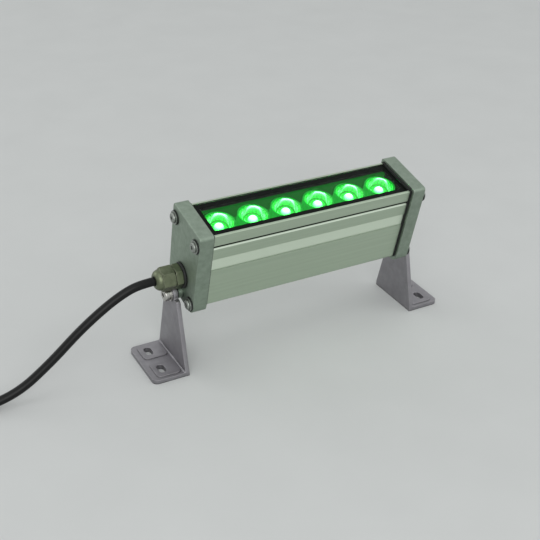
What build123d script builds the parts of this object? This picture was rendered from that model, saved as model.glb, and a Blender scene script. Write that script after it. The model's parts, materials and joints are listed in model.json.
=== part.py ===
"""Outdoor wall washer light: an aluminium lamp body that tilts between two brackets.

Millimetres, +Z up. +X runs along the lamp, away from the cable gland, and the
lamp leans towards -Y. The origin lies on the mounting surface, under the middle
of the lamp and its two brackets.

The lamp has a section frame of its own: u across it and v up it, both measured
from the pivot axis. section(x) is that frame at a station along the lamp,
end_plane(side, x) is the same frame looking out of one end, and deck(v) is a
level of the lamp, with x along it and u across it.
"""

from build123d import *
import math
import os

os.makedirs("parts", exist_ok=True)

LEFT, RIGHT = -1, 1
SIDE_NAMES = {LEFT: "left", RIGHT: "right"}
ON_FACE = (Align.CENTER, Align.CENTER, Align.MIN)
BELOW_FACE = (Align.CENTER, Align.CENTER, Align.MAX)

# ---------------------------------------------------------------- driving sizes

lean = 12.0  # degrees that the lamp leans forward at rest
pivot_height = 54.0

# Extruded body, with heights from the pivot axis
body_length = 150.0
body_top = 58.0
body_bottom = -2.0
reach_top = 18.4  # half depth at the top lip
reach_bottom = 17.4
body_corner = 2.0
lip_chamfer = 0.4
lip_wall = 1.7
ledge_width = 4.4
channel_depth = 12.6  # from the glass ledge down to the shelf
shelf_thickness = 3.0
bay_wall = 1.8
bay_floor_thickness = 2.4
groove_drop = 8.5  # from the body's top
groove_width = 1.6
groove_slope = 1.2
groove_depth = 0.75
band_drop = 19.6
band_height = 9.6
band_depth = 0.6
rib_pitch = 0.8
rib_height = 0.35
rail_thickness = 1.2
rail_reach = 1.4
card_rise = 7.6  # from the bay's floor to the driver board
card_slack = 0.3

# Window
lip_drop = 0.8  # the glass lies this far under the lip
glass_thickness = 3.0
glass_chamfer = 0.3
glass_clearance = 0.2
seal_thickness = 0.6
seal_end_width = 2.2

# End caps and their gaskets
gasket_thickness = 1.5
gasket_bead = 0.4  # the gasket stands this far past the body
gasket_corner = 0.8
cap_thickness = 10.0
cap_overhang_top = 2.4
cap_overhang_bottom = 4.3
cap_overhang_side = 2.6
cap_top_radius = 2.5
cap_low_radius = 6.5
cap_edge_radius = 0.8
cap_face_thickness = 4.0
pocket_inset = 1.0  # inside the driver bay's outline
pocket_radius = 2.0

# Cap screws: M4 flanged heads on sealing washers, cutting their thread in the body's ports
port_drop = 6.8
port_rise = 3.1
port_wall = 0.65  # outside the ports
port_boss_radius = 3.1
port_radius = 1.65
screw_shank_radius = 2.0
screw_flange_radius = 4.6
screw_flange_thickness = 0.7
screw_head_radius = 3.5
screw_head_height = 2.2
screw_crown = 1.0
screw_socket = 2.5
screw_socket_depth = 1.3
screw_bite = 12.0
cap_washer_radius = 4.9
cap_washer_thickness = 0.8
clearance_gap = 0.2
thread_gap = 0.05

# Pivots: M5 button head bolts in the caps' bosses
boss_radius = 4.4
boss_height = 3.4
pivot_bolt_radius = 2.5
pivot_running_gap = 0.1
pivot_wall = 2.1
pivot_floor = 1.2
pivot_thread_spare = 0.8
pivot_head_radius = 4.5
pivot_head_height = 3.0
pivot_crown = 1.3
pivot_socket = 3.0
pivot_socket_depth = 1.6
pivot_washer_radius = 5.0
friction_washer_thickness = 1.2
flat_washer_thickness = 1.0
spring_washer_radius = 4.4
spring_washer_thickness = 1.3
spring_washer_slit = 1.0

# Brackets
bracket_thickness = 3.0
bracket_width = 45.0
foot_length = 26.0
foot_corner = 4.0
bend_radius = 5.0
heel_radius = 1.2
shoulder_half = 9.8
shoulder_drop = 1.5  # the shoulders lie this far under the pivot axis
shoulder_radius = 2.2
tip_clearance = 0.5  # between the arm's tip and the gland's flats
tip_blend = 1.2
slot_reach = 16.0  # from the arm's inner face to the slots
slot_spacing = 23.0
slot_width = 5.3
slot_length = 9.6
pad_height = 0.8
pad_width = 17.2
pad_gap = 0.3
pad_margin = 4.1
pad_corner = 3.0
pad_edge = 0.3

# Light engine
led_count = 6
board_end_gap = 1.5
board_side_gap = 0.3
thermal_pad_thickness = 0.3
led_board_thickness = 1.6
emitter_size = 3.5
emitter_height = 0.9
emitter_dome = 1.4
lens_radius = 10.0
lens_gap = 0.5  # between the lens crowns and the glass
lens_crown = 1.2
lens_lift = 0.3
lens_collar_radius = 9.3
lens_collar_height = 1.2
lens_foot_radius = 4.4
lens_well_radius = 3.2
lens_well_depth = 4.4
holder_radius = 10.9
holder_wall = 0.8
holder_foot_height = 1.4
board_screw_radius = 1.25
board_screw_head_radius = 2.6
board_screw_head_height = 1.7
board_screw_crown = 0.6
board_screw_bite = 2.6
board_screw_across = 8.8
wire_hole_radius = 3.3
wire_hole_across = 8.6

# Driver and wiring
driver_setback = 15.0
driver_board_thickness = 1.6
terminal_setback = 10.0
terminal_length, terminal_width, terminal_height = 10.0, 10.0, 9.0
output_length, output_width, output_height = 8.0, 8.0, 7.0
transformer_x = -26.0
core_length, core_width, core_height = 18.0, 18.0, 12.0
bobbin_length, bobbin_width, bobbin_height = 23.0, 10.0, 9.5
capacitor_x, capacitor_across = -3.0, 6.2
capacitor_radius, capacitor_height = 5.0, 14.0
choke_x, choke_radius, choke_bore, choke_height = 17.0, 8.0, 3.2, 7.0
switch_x, switch_across = 32.0, -6.0
switch_length, switch_width, switch_height = 10.0, 4.5, 13.0
lead_radius = 0.6
lead_gap = 1.6
lead_bend = 1.5
lead_run = 3.4
grommet_bore = 1.8
grommet_flange_radius = 4.6
grommet_lip = 0.8
core_radius = 0.9
core_gap = 2.6

# Cable gland
gland_height = 14.6  # above the pivot axis
gland_flats = 15.0
gland_thread_radius = 6.2
gland_flange = 5.0
gland_spigot_radius = 5.5
gland_spigot_length = 7.7
gland_tail = 8.0
gland_bore_gap = 0.2
bush_wall = 1.3
bush_seat = 1.5
o_ring_radius = 8.9
o_ring_thickness = 1.8
o_ring_edge = 0.7
nut_gap = 0.3
nut_length = 12.9
nut_skirt = 9.0
nut_corner = 0.8
nut_shoulder_radius = 7.2
nut_mouth_radius = 4.6
nut_mouth_gap = 0.4
nut_squeeze = 1.2
locknut_flats = 16.0
locknut_thickness = 3.0

# Cord, and the waterproof connector at its end
cord_radius = 3.0
cord_strip = 3.0  # from the body's end to where the jacket ends
boot_length = 20.0
boot_wall = 0.8
boot_radius = 6.0
boot_groove = 0.7
boot_groove_count = 3
connector_radius = 6.0
connector_length = 11.0
flange_radius = 6.8
flange_length = 2.0
sleeve_radius = 5.2
sleeve_wall = 0.9
sleeve_length = 13.0
sleeve_depth = 10.0
collar_radius = 8.5
collar_wall = 1.5
collar_lip = 2.4
collar_gap = 0.2
collar_groove_count = 16
collar_groove_radius = 0.6
seal_ring_radius = 0.6
pin_radius = 0.8
pin_circle = 2.2
pin_count = 3
pin_length = 8.0

# ---------------------------------------------------------------- worked out

body_half = body_length / 2
cap_seat = body_half + gasket_thickness
cap_face = cap_seat + cap_thickness
friction_seat = cap_face + boss_height
arm_face = friction_seat + friction_washer_thickness
arm_outside = arm_face + bracket_thickness
spring_seat = arm_outside + flat_washer_thickness
pivot_head_seat = spring_seat + spring_washer_thickness

window_half = reach_top - lip_wall
channel_half = window_half - ledge_width
ledge = body_top - lip_drop - glass_thickness - seal_thickness
glass_underside = ledge + seal_thickness
shelf_top = ledge - channel_depth
shelf_underside = shelf_top - shelf_thickness
bay_half = reach_bottom - bay_wall
bay_floor = body_bottom + bay_floor_thickness
card_underside = bay_floor + card_rise
card_face = card_underside + driver_board_thickness

led_pitch = body_length / led_count
led_stations = [(i - (led_count - 1) / 2) * led_pitch for i in range(led_count)]
gap_stations = [x + led_pitch / 2 for x in led_stations[:-1]]
wire_x = gap_stations[-1]
board_screw_places = [
    (gap_stations[0], board_screw_across),
    (gap_stations[0], -board_screw_across),
    (gap_stations[len(gap_stations) // 2], board_screw_across),
    (gap_stations[-1], -board_screw_across),
]
board_underside = shelf_top + thermal_pad_thickness
board_face = board_underside + led_board_thickness
lens_foot = board_face + lens_lift
lens_rim = glass_underside - lens_gap - lens_crown
holder_top = lens_rim - lens_collar_height

cap_top = body_top + cap_overhang_top
cap_bottom = body_bottom - cap_overhang_bottom
pocket_half = bay_half - pocket_inset
pocket_bottom = pivot_bolt_radius + pivot_wall
pocket_top = shelf_underside - pocket_inset

cos_lean = math.cos(math.radians(lean))
sin_lean = math.sin(math.radians(lean))


def side_reach(v):
    """Half depth of the body's tapered side at height v."""
    share = (v - body_bottom) / (body_top - body_bottom)
    return reach_bottom + share * (reach_top - reach_bottom)


port_top = body_top - port_drop
port_low = body_bottom + port_rise
low_across = side_reach(port_low) - port_wall - port_radius
top_across = side_reach(port_top) - port_wall - port_radius
low_screws = [(-low_across, port_low), (low_across, port_low)]
high_screws = [(-top_across, port_top), (top_across, port_top)]
screw_places = low_screws + high_screws

with BuildSketch() as cap_outline:
    with BuildLine():
        Polyline(
            (-side_reach(cap_top) - cap_overhang_side, cap_top),
            (side_reach(cap_top) + cap_overhang_side, cap_top),
            (side_reach(cap_bottom) + cap_overhang_side, cap_bottom),
            (-side_reach(cap_bottom) - cap_overhang_side, cap_bottom),
            close=True,
        )
    make_face()
    fillet(cap_outline.vertices().group_by(Axis.Y)[-1], cap_top_radius)
    fillet(cap_outline.vertices().group_by(Axis.Y)[0], cap_low_radius)

# The gasket follows the body's outline, which hides it behind the cap's rim.
with BuildSketch() as gasket_outline:
    with BuildLine():
        Polyline(
            (-side_reach(body_top) - gasket_bead, body_top + gasket_bead),
            (side_reach(body_top) + gasket_bead, body_top + gasket_bead),
            (side_reach(body_bottom) + gasket_bead, body_bottom - gasket_bead),
            (-side_reach(body_bottom) - gasket_bead, body_bottom - gasket_bead),
            close=True,
        )
    make_face()
    fillet(gasket_outline.vertices().group_by(Axis.Y)[-1], gasket_corner)
    fillet(gasket_outline.vertices().group_by(Axis.Y)[0], body_corner + gasket_bead)

# The cap's top front corner reaches furthest forward, and the feet furthest back.
front_reach = -cap_outline.sketch.rotate(Axis.Z, lean).bounding_box().min.X
pivot_y = (front_reach - bracket_width / 2) / 2


def section(x):
    """The lamp's u, v frame at station x, facing +X."""
    return Plane((x, pivot_y, pivot_height), (0, cos_lean, sin_lean), (1, 0, 0))


def end_plane(side, x):
    """The lamp's frame at one end, facing outwards, with v still up."""
    x_direction = (0, side * cos_lean, side * sin_lean)
    return Plane((side * x, pivot_y, pivot_height), x_direction, (side, 0, 0))


def deck(v):
    """The level v of the lamp, facing out of the window."""
    origin = (0, pivot_y - v * sin_lean, pivot_height + v * cos_lean)
    return Plane(origin, (1, 0, 0), (0, -sin_lean, cos_lean))


def outer_group(side):
    """Index of the outermost group along X at that end."""
    return 0 if side == LEFT else -1


def hexagon(flats):
    """Hexagon with a flat towards the pivot."""
    with BuildSketch() as outline:
        RegularPolygon(flats / 2, 6, major_radius=False)
    return outline.sketch


window_axis = Axis(deck(0).origin, deck(0).z_dir)
pivot_axis = Axis(deck(0).origin, (1, 0, 0))

# ---------------------------------------------------------------- extruded body

# The driver bay's outline runs round the low screw ports and the card rails.
with BuildSketch() as bay_outline:
    with Locations((0, bay_floor)):
        Rectangle(2 * bay_half, shelf_underside - bay_floor, align=(Align.CENTER, Align.MIN))
    with Locations(*low_screws):
        Circle(port_boss_radius, mode=Mode.SUBTRACT)
    rail_levels = (
        card_underside - rail_thickness / 2,
        card_face + card_slack + rail_thickness / 2,
    )
    with Locations(*[(u, v) for u in (-bay_half, bay_half) for v in rail_levels]):
        Rectangle(2 * rail_reach, rail_thickness, mode=Mode.SUBTRACT)

# Fine saw-tooth ribs run along a shallow band on each side.
band_top = body_top - band_drop
band_foot = band_top - band_height
rib_count = round(band_height / rib_pitch)
rib_points = []
for i in range(rib_count):
    rib_root = band_top - i * band_height / rib_count
    rib_crest = rib_root - 0.7 * band_height / rib_count
    rib_points.append((side_reach(rib_root) - band_depth, rib_root))
    rib_points.append((side_reach(rib_crest) - band_depth + rib_height, rib_crest))

groove_top = body_top - groove_drop
groove_bottom = groove_top - groove_width
groove_end = groove_bottom - groove_slope

with BuildPart() as housing_extrusion:
    with BuildSketch(section(-body_half)) as profile:
        with BuildLine():
            Polyline(
                (0, body_top),
                (side_reach(body_top) - lip_chamfer, body_top),
                (side_reach(body_top), body_top - lip_chamfer),
                (side_reach(groove_top), groove_top),
                (side_reach(groove_top) - groove_depth, groove_top),
                (side_reach(groove_bottom) - groove_depth, groove_bottom),
                (side_reach(groove_end), groove_end),
                (side_reach(band_top), band_top),
                *rib_points,
                (side_reach(band_foot) - band_depth, band_foot),
                (side_reach(band_foot), band_foot),
                (side_reach(body_bottom), body_bottom),
                (0, body_bottom),
                close=True,
            )
        make_face()
        mirror(about=Plane.YZ)
        fillet(profile.vertices().group_by(Axis.Y)[0], body_corner)
        with Locations((0, ledge)):
            Rectangle(
                2 * window_half,
                body_top - ledge,
                align=(Align.CENTER, Align.MIN),
                mode=Mode.SUBTRACT,
            )
        with Locations((0, shelf_top)):
            Rectangle(
                2 * channel_half,
                channel_depth,
                align=(Align.CENTER, Align.MIN),
                mode=Mode.SUBTRACT,
            )
        add(bay_outline.sketch, mode=Mode.SUBTRACT)
        with Locations(*screw_places):
            Circle(port_radius, mode=Mode.SUBTRACT)
    extrude(amount=body_length)
    with BuildSketch(deck(shelf_top)):
        with Locations(*board_screw_places):
            Circle(board_screw_radius + thread_gap)
        with Locations((wire_x, wire_hole_across)):
            Circle(wire_hole_radius)
    extrude(amount=-shelf_thickness, mode=Mode.SUBTRACT)
housing_extrusion.part.label = "housing_extrusion"
export_step(housing_extrusion.part, "parts/housing_extrusion.step")

# ---------------------------------------------------------------- window

glass_width = 2 * (window_half - glass_clearance)

with BuildPart() as glass_seal:
    with BuildSketch(deck(ledge)):
        Rectangle(body_length, glass_width)
        Rectangle(body_length - 2 * seal_end_width, 2 * channel_half, mode=Mode.SUBTRACT)
    extrude(amount=seal_thickness)
glass_seal.part.label = "glass_seal"
export_step(glass_seal.part, "parts/glass_seal.step")

with BuildPart() as cover_glass:
    with BuildSketch(deck(glass_underside)):
        Rectangle(body_length, glass_width)
    extrude(amount=glass_thickness)
    chamfer(cover_glass.edges().group_by(window_axis)[-1], glass_chamfer)
cover_glass.part.label = "cover_glass"
export_step(cover_glass.part, "parts/cover_glass.step")

# ---------------------------------------------------------------- light engine

board_length = body_length - 2 * board_end_gap
board_width = 2 * (channel_half - board_side_gap)

with BuildPart() as thermal_pad:
    with BuildSketch(deck(shelf_top)):
        Rectangle(board_length, board_width)
        with Locations(*board_screw_places):
            Circle(board_screw_radius + 2 * clearance_gap, mode=Mode.SUBTRACT)
        with Locations((wire_x, wire_hole_across)):
            Circle(wire_hole_radius, mode=Mode.SUBTRACT)
    extrude(amount=thermal_pad_thickness)
thermal_pad.part.label = "thermal_pad"
export_step(thermal_pad.part, "parts/thermal_pad.step")

with BuildPart() as led_board:
    with BuildSketch(deck(board_underside)):
        Rectangle(board_length, board_width)
        with Locations(*board_screw_places):
            Circle(board_screw_radius + clearance_gap, mode=Mode.SUBTRACT)
        with Locations((wire_x, wire_hole_across)):
            Circle(wire_hole_radius, mode=Mode.SUBTRACT)
    extrude(amount=led_board_thickness)
led_board.part.label = "led_board"
export_step(led_board.part, "parts/led_board.step")

with BuildPart(deck(board_face)) as board_screws:
    with Locations(*board_screw_places):
        Cylinder(board_screw_head_radius, board_screw_head_height, align=ON_FACE)
    fillet(board_screws.edges().group_by(window_axis)[-1], board_screw_crown)
    board_screw_length = board_face - shelf_top + board_screw_bite
    with Locations(*board_screw_places):
        Cylinder(board_screw_radius, board_screw_length, align=BELOW_FACE)
board_screws.part.label = "board_screws"
export_step(board_screws.part, "parts/board_screws.step")

with BuildPart(deck(board_face)) as led_emitters:
    with Locations(*[(x, 0) for x in led_stations]):
        Box(emitter_size, emitter_size, emitter_height, align=ON_FACE)
    with Locations(*[(x, 0, emitter_height) for x in led_stations]):
        Sphere(emitter_dome, arc_size1=0)
led_emitters.part.label = "led_emitters"
export_step(led_emitters.part, "parts/led_emitters.step")

# Each lens is a collimator: a well over its emitter, a curved reflecting flank and
# a collar under a shallow crown.
with BuildPart() as lenses:
    for x in led_stations:
        with BuildSketch(section(x)):
            with BuildLine():
                Line((0, lens_foot + lens_well_depth), (0, lens_rim + lens_crown))
                ThreePointArc(
                    (0, lens_rim + lens_crown),
                    (lens_radius / 2, lens_rim + 0.76 * lens_crown),
                    (lens_radius, lens_rim),
                )
                Polyline(
                    (lens_radius, lens_rim),
                    (lens_radius, holder_top),
                    (lens_collar_radius, holder_top),
                )
                ThreePointArc(
                    (lens_collar_radius, holder_top),
                    (
                        lens_foot_radius + 0.6 * (lens_collar_radius - lens_foot_radius),
                        lens_foot + 0.42 * (holder_top - lens_foot),
                    ),
                    (lens_foot_radius, lens_foot),
                )
                Polyline(
                    (lens_foot_radius, lens_foot),
                    (lens_well_radius, lens_foot),
                    (0.8 * lens_well_radius, lens_foot + 0.8 * lens_well_depth),
                    (0, lens_foot + lens_well_depth),
                )
            make_face()
        revolve(axis=Axis(section(x).origin, deck(0).z_dir))
lenses.part.label = "lenses"
export_step(lenses.part, "parts/lenses.step")

# Each holder is a cup on the board that centres a lens and carries its collar.
with BuildPart() as lens_holders:
    for x in led_stations:
        with BuildSketch(section(x)):
            with BuildLine():
                Polyline(
                    (lens_foot_radius + clearance_gap, board_face),
                    (holder_radius, board_face),
                    (holder_radius, lens_rim - clearance_gap),
                    (lens_radius + clearance_gap, lens_rim - clearance_gap),
                    (lens_radius + clearance_gap, holder_top),
                    (lens_collar_radius + clearance_gap, holder_top),
                    (holder_radius - holder_wall, holder_top - holder_wall),
                    (holder_radius - holder_wall, board_face + holder_foot_height),
                    (lens_foot_radius + 2 * holder_wall, board_face + holder_foot_height),
                    (lens_foot_radius + clearance_gap, board_face + lens_lift),
                    close=True,
                )
            make_face()
        revolve(axis=Axis(section(x).origin, deck(0).z_dir))
lens_holders.part.label = "lens_holders"
export_step(lens_holders.part, "parts/lens_holders.step")

# ---------------------------------------------------------------- driver and wiring

driver_length = body_length - 2 * driver_setback
terminal_x = terminal_setback - driver_length / 2

with BuildPart() as driver_board:
    with BuildSketch(deck(card_underside)):
        Rectangle(driver_length, 2 * (bay_half - card_slack))
    extrude(amount=driver_board_thickness)
driver_board.part.label = "driver_board"
export_step(driver_board.part, "parts/driver_board.step")

with BuildPart(deck(card_face)) as driver_components:
    with Locations((terminal_x, 0)):
        Box(terminal_length, terminal_width, terminal_height, align=ON_FACE)
    with Locations((wire_x, wire_hole_across)):
        Box(output_length, output_width, output_height, align=ON_FACE)
    with Locations((transformer_x, 0)):
        Box(core_length, core_width, core_height, align=ON_FACE)
        Box(bobbin_length, bobbin_width, bobbin_height, align=ON_FACE)
    with Locations((capacitor_x, -capacitor_across), (capacitor_x, capacitor_across)):
        Cylinder(capacitor_radius, capacitor_height, align=ON_FACE)
    with Locations((choke_x, 0)):
        Cylinder(choke_radius, choke_height, align=ON_FACE)
    with Locations((choke_x, 0, choke_height)):
        Hole(choke_bore, choke_height)
    with Locations((switch_x, switch_across)):
        Box(switch_length, switch_width, switch_height, align=ON_FACE)
driver_components.part.label = "driver_components"
export_step(driver_components.part, "parts/driver_components.step")

with BuildPart() as shelf_grommet:
    grommet_radius = wire_hole_radius - thread_gap
    with BuildSketch(section(wire_x)):
        with BuildLine():
            Polyline(
                (wire_hole_across + grommet_bore, shelf_underside - grommet_lip),
                (wire_hole_across + grommet_flange_radius, shelf_underside - grommet_lip),
                (wire_hole_across + grommet_flange_radius, shelf_underside),
                (wire_hole_across + grommet_radius, shelf_underside),
                (wire_hole_across + grommet_radius, shelf_top),
                (wire_hole_across + grommet_bore, shelf_top),
                close=True,
            )
        make_face()
    grommet_middle = section(wire_x).from_local_coords((wire_hole_across, 0, 0))
    revolve(axis=Axis(grommet_middle, deck(0).z_dir))
shelf_grommet.part.label = "shelf_grommet"
export_step(shelf_grommet.part, "parts/shelf_grommet.step")

# Two leads climb from the driver through the shelf and turn onto the LED board.
for polarity, way in (("positive", -1), ("negative", 1)):
    lead_x = wire_x + way * lead_gap / 2
    lead_top = board_face + lead_radius
    lead_start = deck(0).from_local_coords((lead_x, wire_hole_across, card_face + output_height))
    lead_turn = deck(0).from_local_coords((lead_x, wire_hole_across, lead_top))
    lead_end = deck(0).from_local_coords((lead_x + way * lead_run, wire_hole_across, lead_top))
    with BuildPart() as lead:
        with BuildLine():
            FilletPolyline(lead_start, lead_turn, lead_end, radius=lead_bend)
        with BuildSketch(Plane(lead_start, (1, 0, 0), deck(0).z_dir)):
            Circle(lead_radius)
        sweep()
    lead.part.label = f"lead_{polarity}"
    export_step(lead.part, f"parts/lead_{polarity}.step")

# ---------------------------------------------------------------- ends and pivots

for side in (LEFT, RIGHT):
    with BuildPart() as cap_gasket:
        with BuildSketch(end_plane(side, body_half)):
            add(gasket_outline.sketch)
            with Locations((0, (pocket_bottom + pocket_top) / 2)):
                RectangleRounded(
                    2 * pocket_half,
                    pocket_top - pocket_bottom,
                    pocket_radius,
                    mode=Mode.SUBTRACT,
                )
            with Locations(*screw_places):
                Circle(screw_shank_radius + clearance_gap, mode=Mode.SUBTRACT)
        extrude(amount=gasket_thickness)
    cap_gasket.part.label = f"{SIDE_NAMES[side]}_cap_gasket"
    export_step(cap_gasket.part, f"parts/{SIDE_NAMES[side]}_cap_gasket.step")

    with BuildPart() as end_cap:
        with BuildSketch(end_plane(side, cap_seat)):
            add(cap_outline.sketch)
        extrude(amount=cap_thickness)
        fillet(end_cap.faces().sort_by(Axis.X)[outer_group(side)].edges(), cap_edge_radius)
        # pocket behind the face, open to the driver bay
        with BuildSketch(end_plane(side, cap_seat)):
            with Locations((0, (pocket_bottom + pocket_top) / 2)):
                RectangleRounded(2 * pocket_half, pocket_top - pocket_bottom, pocket_radius)
        extrude(amount=cap_thickness - cap_face_thickness, mode=Mode.SUBTRACT)
        # pivot boss with its threaded hole
        with BuildSketch(end_plane(side, cap_face - cap_edge_radius)):
            Circle(boss_radius)
        extrude(amount=cap_edge_radius + boss_height)
        with BuildSketch(end_plane(side, cap_seat + pivot_floor)):
            Circle(pivot_bolt_radius + thread_gap)
        extrude(amount=friction_seat - cap_seat - pivot_floor, mode=Mode.SUBTRACT)
        # screw holes, and the gland's hole at the cable end
        with BuildSketch(end_plane(side, cap_seat)):
            with Locations(*screw_places):
                Circle(screw_shank_radius + clearance_gap)
            if side == LEFT:
                with Locations((0, gland_height)):
                    Circle(gland_thread_radius + thread_gap)
        extrude(amount=cap_thickness, mode=Mode.SUBTRACT)
    end_cap.part.label = f"{SIDE_NAMES[side]}_end_cap"
    export_step(end_cap.part, f"parts/{SIDE_NAMES[side]}_end_cap.step")

    with BuildPart() as cap_washers:
        with BuildSketch(end_plane(side, cap_face)):
            with Locations(*screw_places):
                Circle(cap_washer_radius)
                Circle(screw_shank_radius + clearance_gap, mode=Mode.SUBTRACT)
        extrude(amount=cap_washer_thickness)
    cap_washers.part.label = f"{SIDE_NAMES[side]}_cap_washers"
    export_step(cap_washers.part, f"parts/{SIDE_NAMES[side]}_cap_washers.step")

    screw_seat = cap_face + cap_washer_thickness
    with BuildPart(end_plane(side, screw_seat)) as cap_screws:
        with Locations(*screw_places):
            Cylinder(screw_head_radius, screw_head_height, align=ON_FACE)
        fillet(cap_screws.edges().group_by(Axis.X)[outer_group(side)], screw_crown)
        with Locations(*screw_places):
            Cylinder(screw_flange_radius, screw_flange_thickness, align=ON_FACE)
        with BuildSketch(end_plane(side, screw_seat + screw_head_height)):
            with Locations(*screw_places):
                add(hexagon(screw_socket))
        extrude(amount=-screw_socket_depth, mode=Mode.SUBTRACT)
        with Locations(*screw_places):
            Cylinder(screw_shank_radius, screw_seat - body_half, align=BELOW_FACE)
        with Locations(*[(u, v, body_half - screw_seat) for u, v in screw_places]):
            Cylinder(port_radius - thread_gap, screw_bite, align=BELOW_FACE)
    cap_screws.part.label = f"{SIDE_NAMES[side]}_cap_screws"
    export_step(cap_screws.part, f"parts/{SIDE_NAMES[side]}_cap_screws.step")

    with BuildPart() as friction_washer:
        with BuildSketch(end_plane(side, friction_seat)):
            Circle(pivot_washer_radius)
            Circle(pivot_bolt_radius + clearance_gap, mode=Mode.SUBTRACT)
        extrude(amount=friction_washer_thickness)
    friction_washer.part.label = f"{SIDE_NAMES[side]}_friction_washer"
    export_step(friction_washer.part, f"parts/{SIDE_NAMES[side]}_friction_washer.step")

    with BuildPart() as flat_washer:
        with BuildSketch(end_plane(side, arm_outside)):
            Circle(pivot_washer_radius)
            Circle(pivot_bolt_radius + clearance_gap, mode=Mode.SUBTRACT)
        extrude(amount=flat_washer_thickness)
    flat_washer.part.label = f"{SIDE_NAMES[side]}_flat_washer"
    export_step(flat_washer.part, f"parts/{SIDE_NAMES[side]}_flat_washer.step")

    with BuildPart() as spring_washer:
        with BuildSketch(end_plane(side, spring_seat)):
            Circle(spring_washer_radius)
            Circle(pivot_bolt_radius + clearance_gap, mode=Mode.SUBTRACT)
            with Locations((spring_washer_radius, 0)):
                Rectangle(
                    2 * (spring_washer_radius - pivot_bolt_radius),
                    spring_washer_slit,
                    rotation=20,
                    mode=Mode.SUBTRACT,
                )
        extrude(amount=spring_washer_thickness)
    spring_washer.part.label = f"{SIDE_NAMES[side]}_spring_washer"
    export_step(spring_washer.part, f"parts/{SIDE_NAMES[side]}_spring_washer.step")

    pivot_bolt_end = cap_seat + pivot_floor + pivot_thread_spare
    with BuildPart() as pivot_bolt:
        with BuildSketch(end_plane(side, pivot_head_seat)):
            Circle(pivot_head_radius)
        extrude(amount=pivot_head_height)
        fillet(pivot_bolt.edges().group_by(Axis.X)[outer_group(side)], pivot_crown)
        with BuildSketch(end_plane(side, pivot_head_seat + pivot_head_height)):
            add(hexagon(pivot_socket))
        extrude(amount=-pivot_socket_depth, mode=Mode.SUBTRACT)
        with BuildSketch(end_plane(side, pivot_head_seat)):
            Circle(pivot_bolt_radius)
        extrude(amount=pivot_bolt_end - pivot_head_seat)
    pivot_bolt.part.label = f"{SIDE_NAMES[side]}_pivot_bolt"
    export_step(pivot_bolt.part, f"parts/{SIDE_NAMES[side]}_pivot_bolt.step")

# ---------------------------------------------------------------- brackets

bracket_half = bracket_width / 2
shoulder_height = pivot_height - shoulder_drop
tip_radius = gland_height - gland_flats / 2 - tip_clearance
foot_end = arm_face + foot_length

# The bracket seen along the lamp: its foot, tapered arm and rounded tip.
with BuildSketch() as bracket_outline:
    with BuildLine():
        Polyline(
            (-bracket_half, bracket_thickness),
            (bracket_half, bracket_thickness),
            (shoulder_half, shoulder_height),
            (-shoulder_half, shoulder_height),
            close=True,
        )
    make_face()
    fillet(bracket_outline.vertices().group_by(Axis.Y)[-1], shoulder_radius)
    with Locations((0, pivot_height)):
        Circle(tip_radius)
    neck_corners = bracket_outline.vertices().filter_by_position(
        Axis.X, -tip_radius, tip_radius
    ).filter_by_position(Axis.Y, shoulder_height - thread_gap, shoulder_height + thread_gap)
    fillet(neck_corners, tip_blend)
    Rectangle(bracket_width, bracket_thickness, align=(Align.CENTER, Align.MIN))
    with Locations((0, pivot_height)):
        Circle(pivot_bolt_radius + pivot_running_gap, mode=Mode.SUBTRACT)

for side in (LEFT, RIGHT):
    with BuildPart() as bracket:
        # bent plate, seen from the front
        with BuildSketch(Plane((0, pivot_y, 0), (side, 0, 0), (0, -side, 0))) as bent_plate:
            with BuildLine():
                Polyline(
                    (arm_face, 0),
                    (foot_end, 0),
                    (foot_end, bracket_thickness),
                    (arm_outside, bracket_thickness),
                    (arm_outside, pivot_height + tip_radius),
                    (arm_face, pivot_height + tip_radius),
                    close=True,
                )
            make_face()
            corners = bent_plate.vertices()
            heel = corners.sort_by_distance((arm_outside, bracket_thickness))[0]
            bend = corners.sort_by_distance((arm_face, 0))[0]
            fillet(heel, heel_radius)
            fillet(bend, bend_radius)
        extrude(amount=bracket_half, both=True)
        with BuildSketch(Plane((side * arm_face, pivot_y, 0), (0, side, 0), (side, 0, 0))):
            add(bracket_outline.sketch)
        extrude(amount=foot_length, mode=Mode.INTERSECT)
        foot_corners = bracket.edges().filter_by(Axis.Z).group_by(Axis.X)[outer_group(side)]
        fillet(foot_corners, foot_corner)
        # raised pads round the slots
        pad_start = arm_outside + heel_radius + pad_gap
        pad_end = foot_end - pad_margin
        with BuildSketch(Plane.XY.offset(bracket_thickness)):
            with Locations((side * (pad_start + pad_end) / 2, pivot_y)):
                with GridLocations(0, slot_spacing, 1, 2):
                    RectangleRounded(pad_end - pad_start, pad_width, pad_corner)
        extrude(amount=pad_height)
        pad_top = bracket_thickness + pad_height
        pad_faces = bracket.faces().filter_by_position(
            Axis.Z, pad_top - thread_gap, pad_top + thread_gap
        )
        fillet(pad_faces.edges(), pad_edge)
        with BuildSketch():
            with Locations((side * (arm_face + slot_reach), pivot_y)):
                with GridLocations(0, slot_spacing, 1, 2):
                    SlotOverall(slot_length, slot_width, rotation=90)
        extrude(amount=pad_top, mode=Mode.SUBTRACT)
    bracket.part.label = f"{SIDE_NAMES[side]}_bracket"
    export_step(bracket.part, f"parts/{SIDE_NAMES[side]}_bracket.step")

# ---------------------------------------------------------------- cable gland

flange_seat = cap_face + o_ring_thickness
flange_face = flange_seat + gland_flange
spigot_end = flange_face + gland_spigot_length
bush_floor = flange_face + bush_seat
bush_radius = cord_radius + bush_wall
nut_seat = flange_face + nut_gap
nut_skirt_end = nut_seat + nut_skirt
nut_end = nut_seat + nut_length
nut_corner_radius = gland_flats / math.sqrt(3)
nut_bore = cord_radius + nut_mouth_gap

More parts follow.
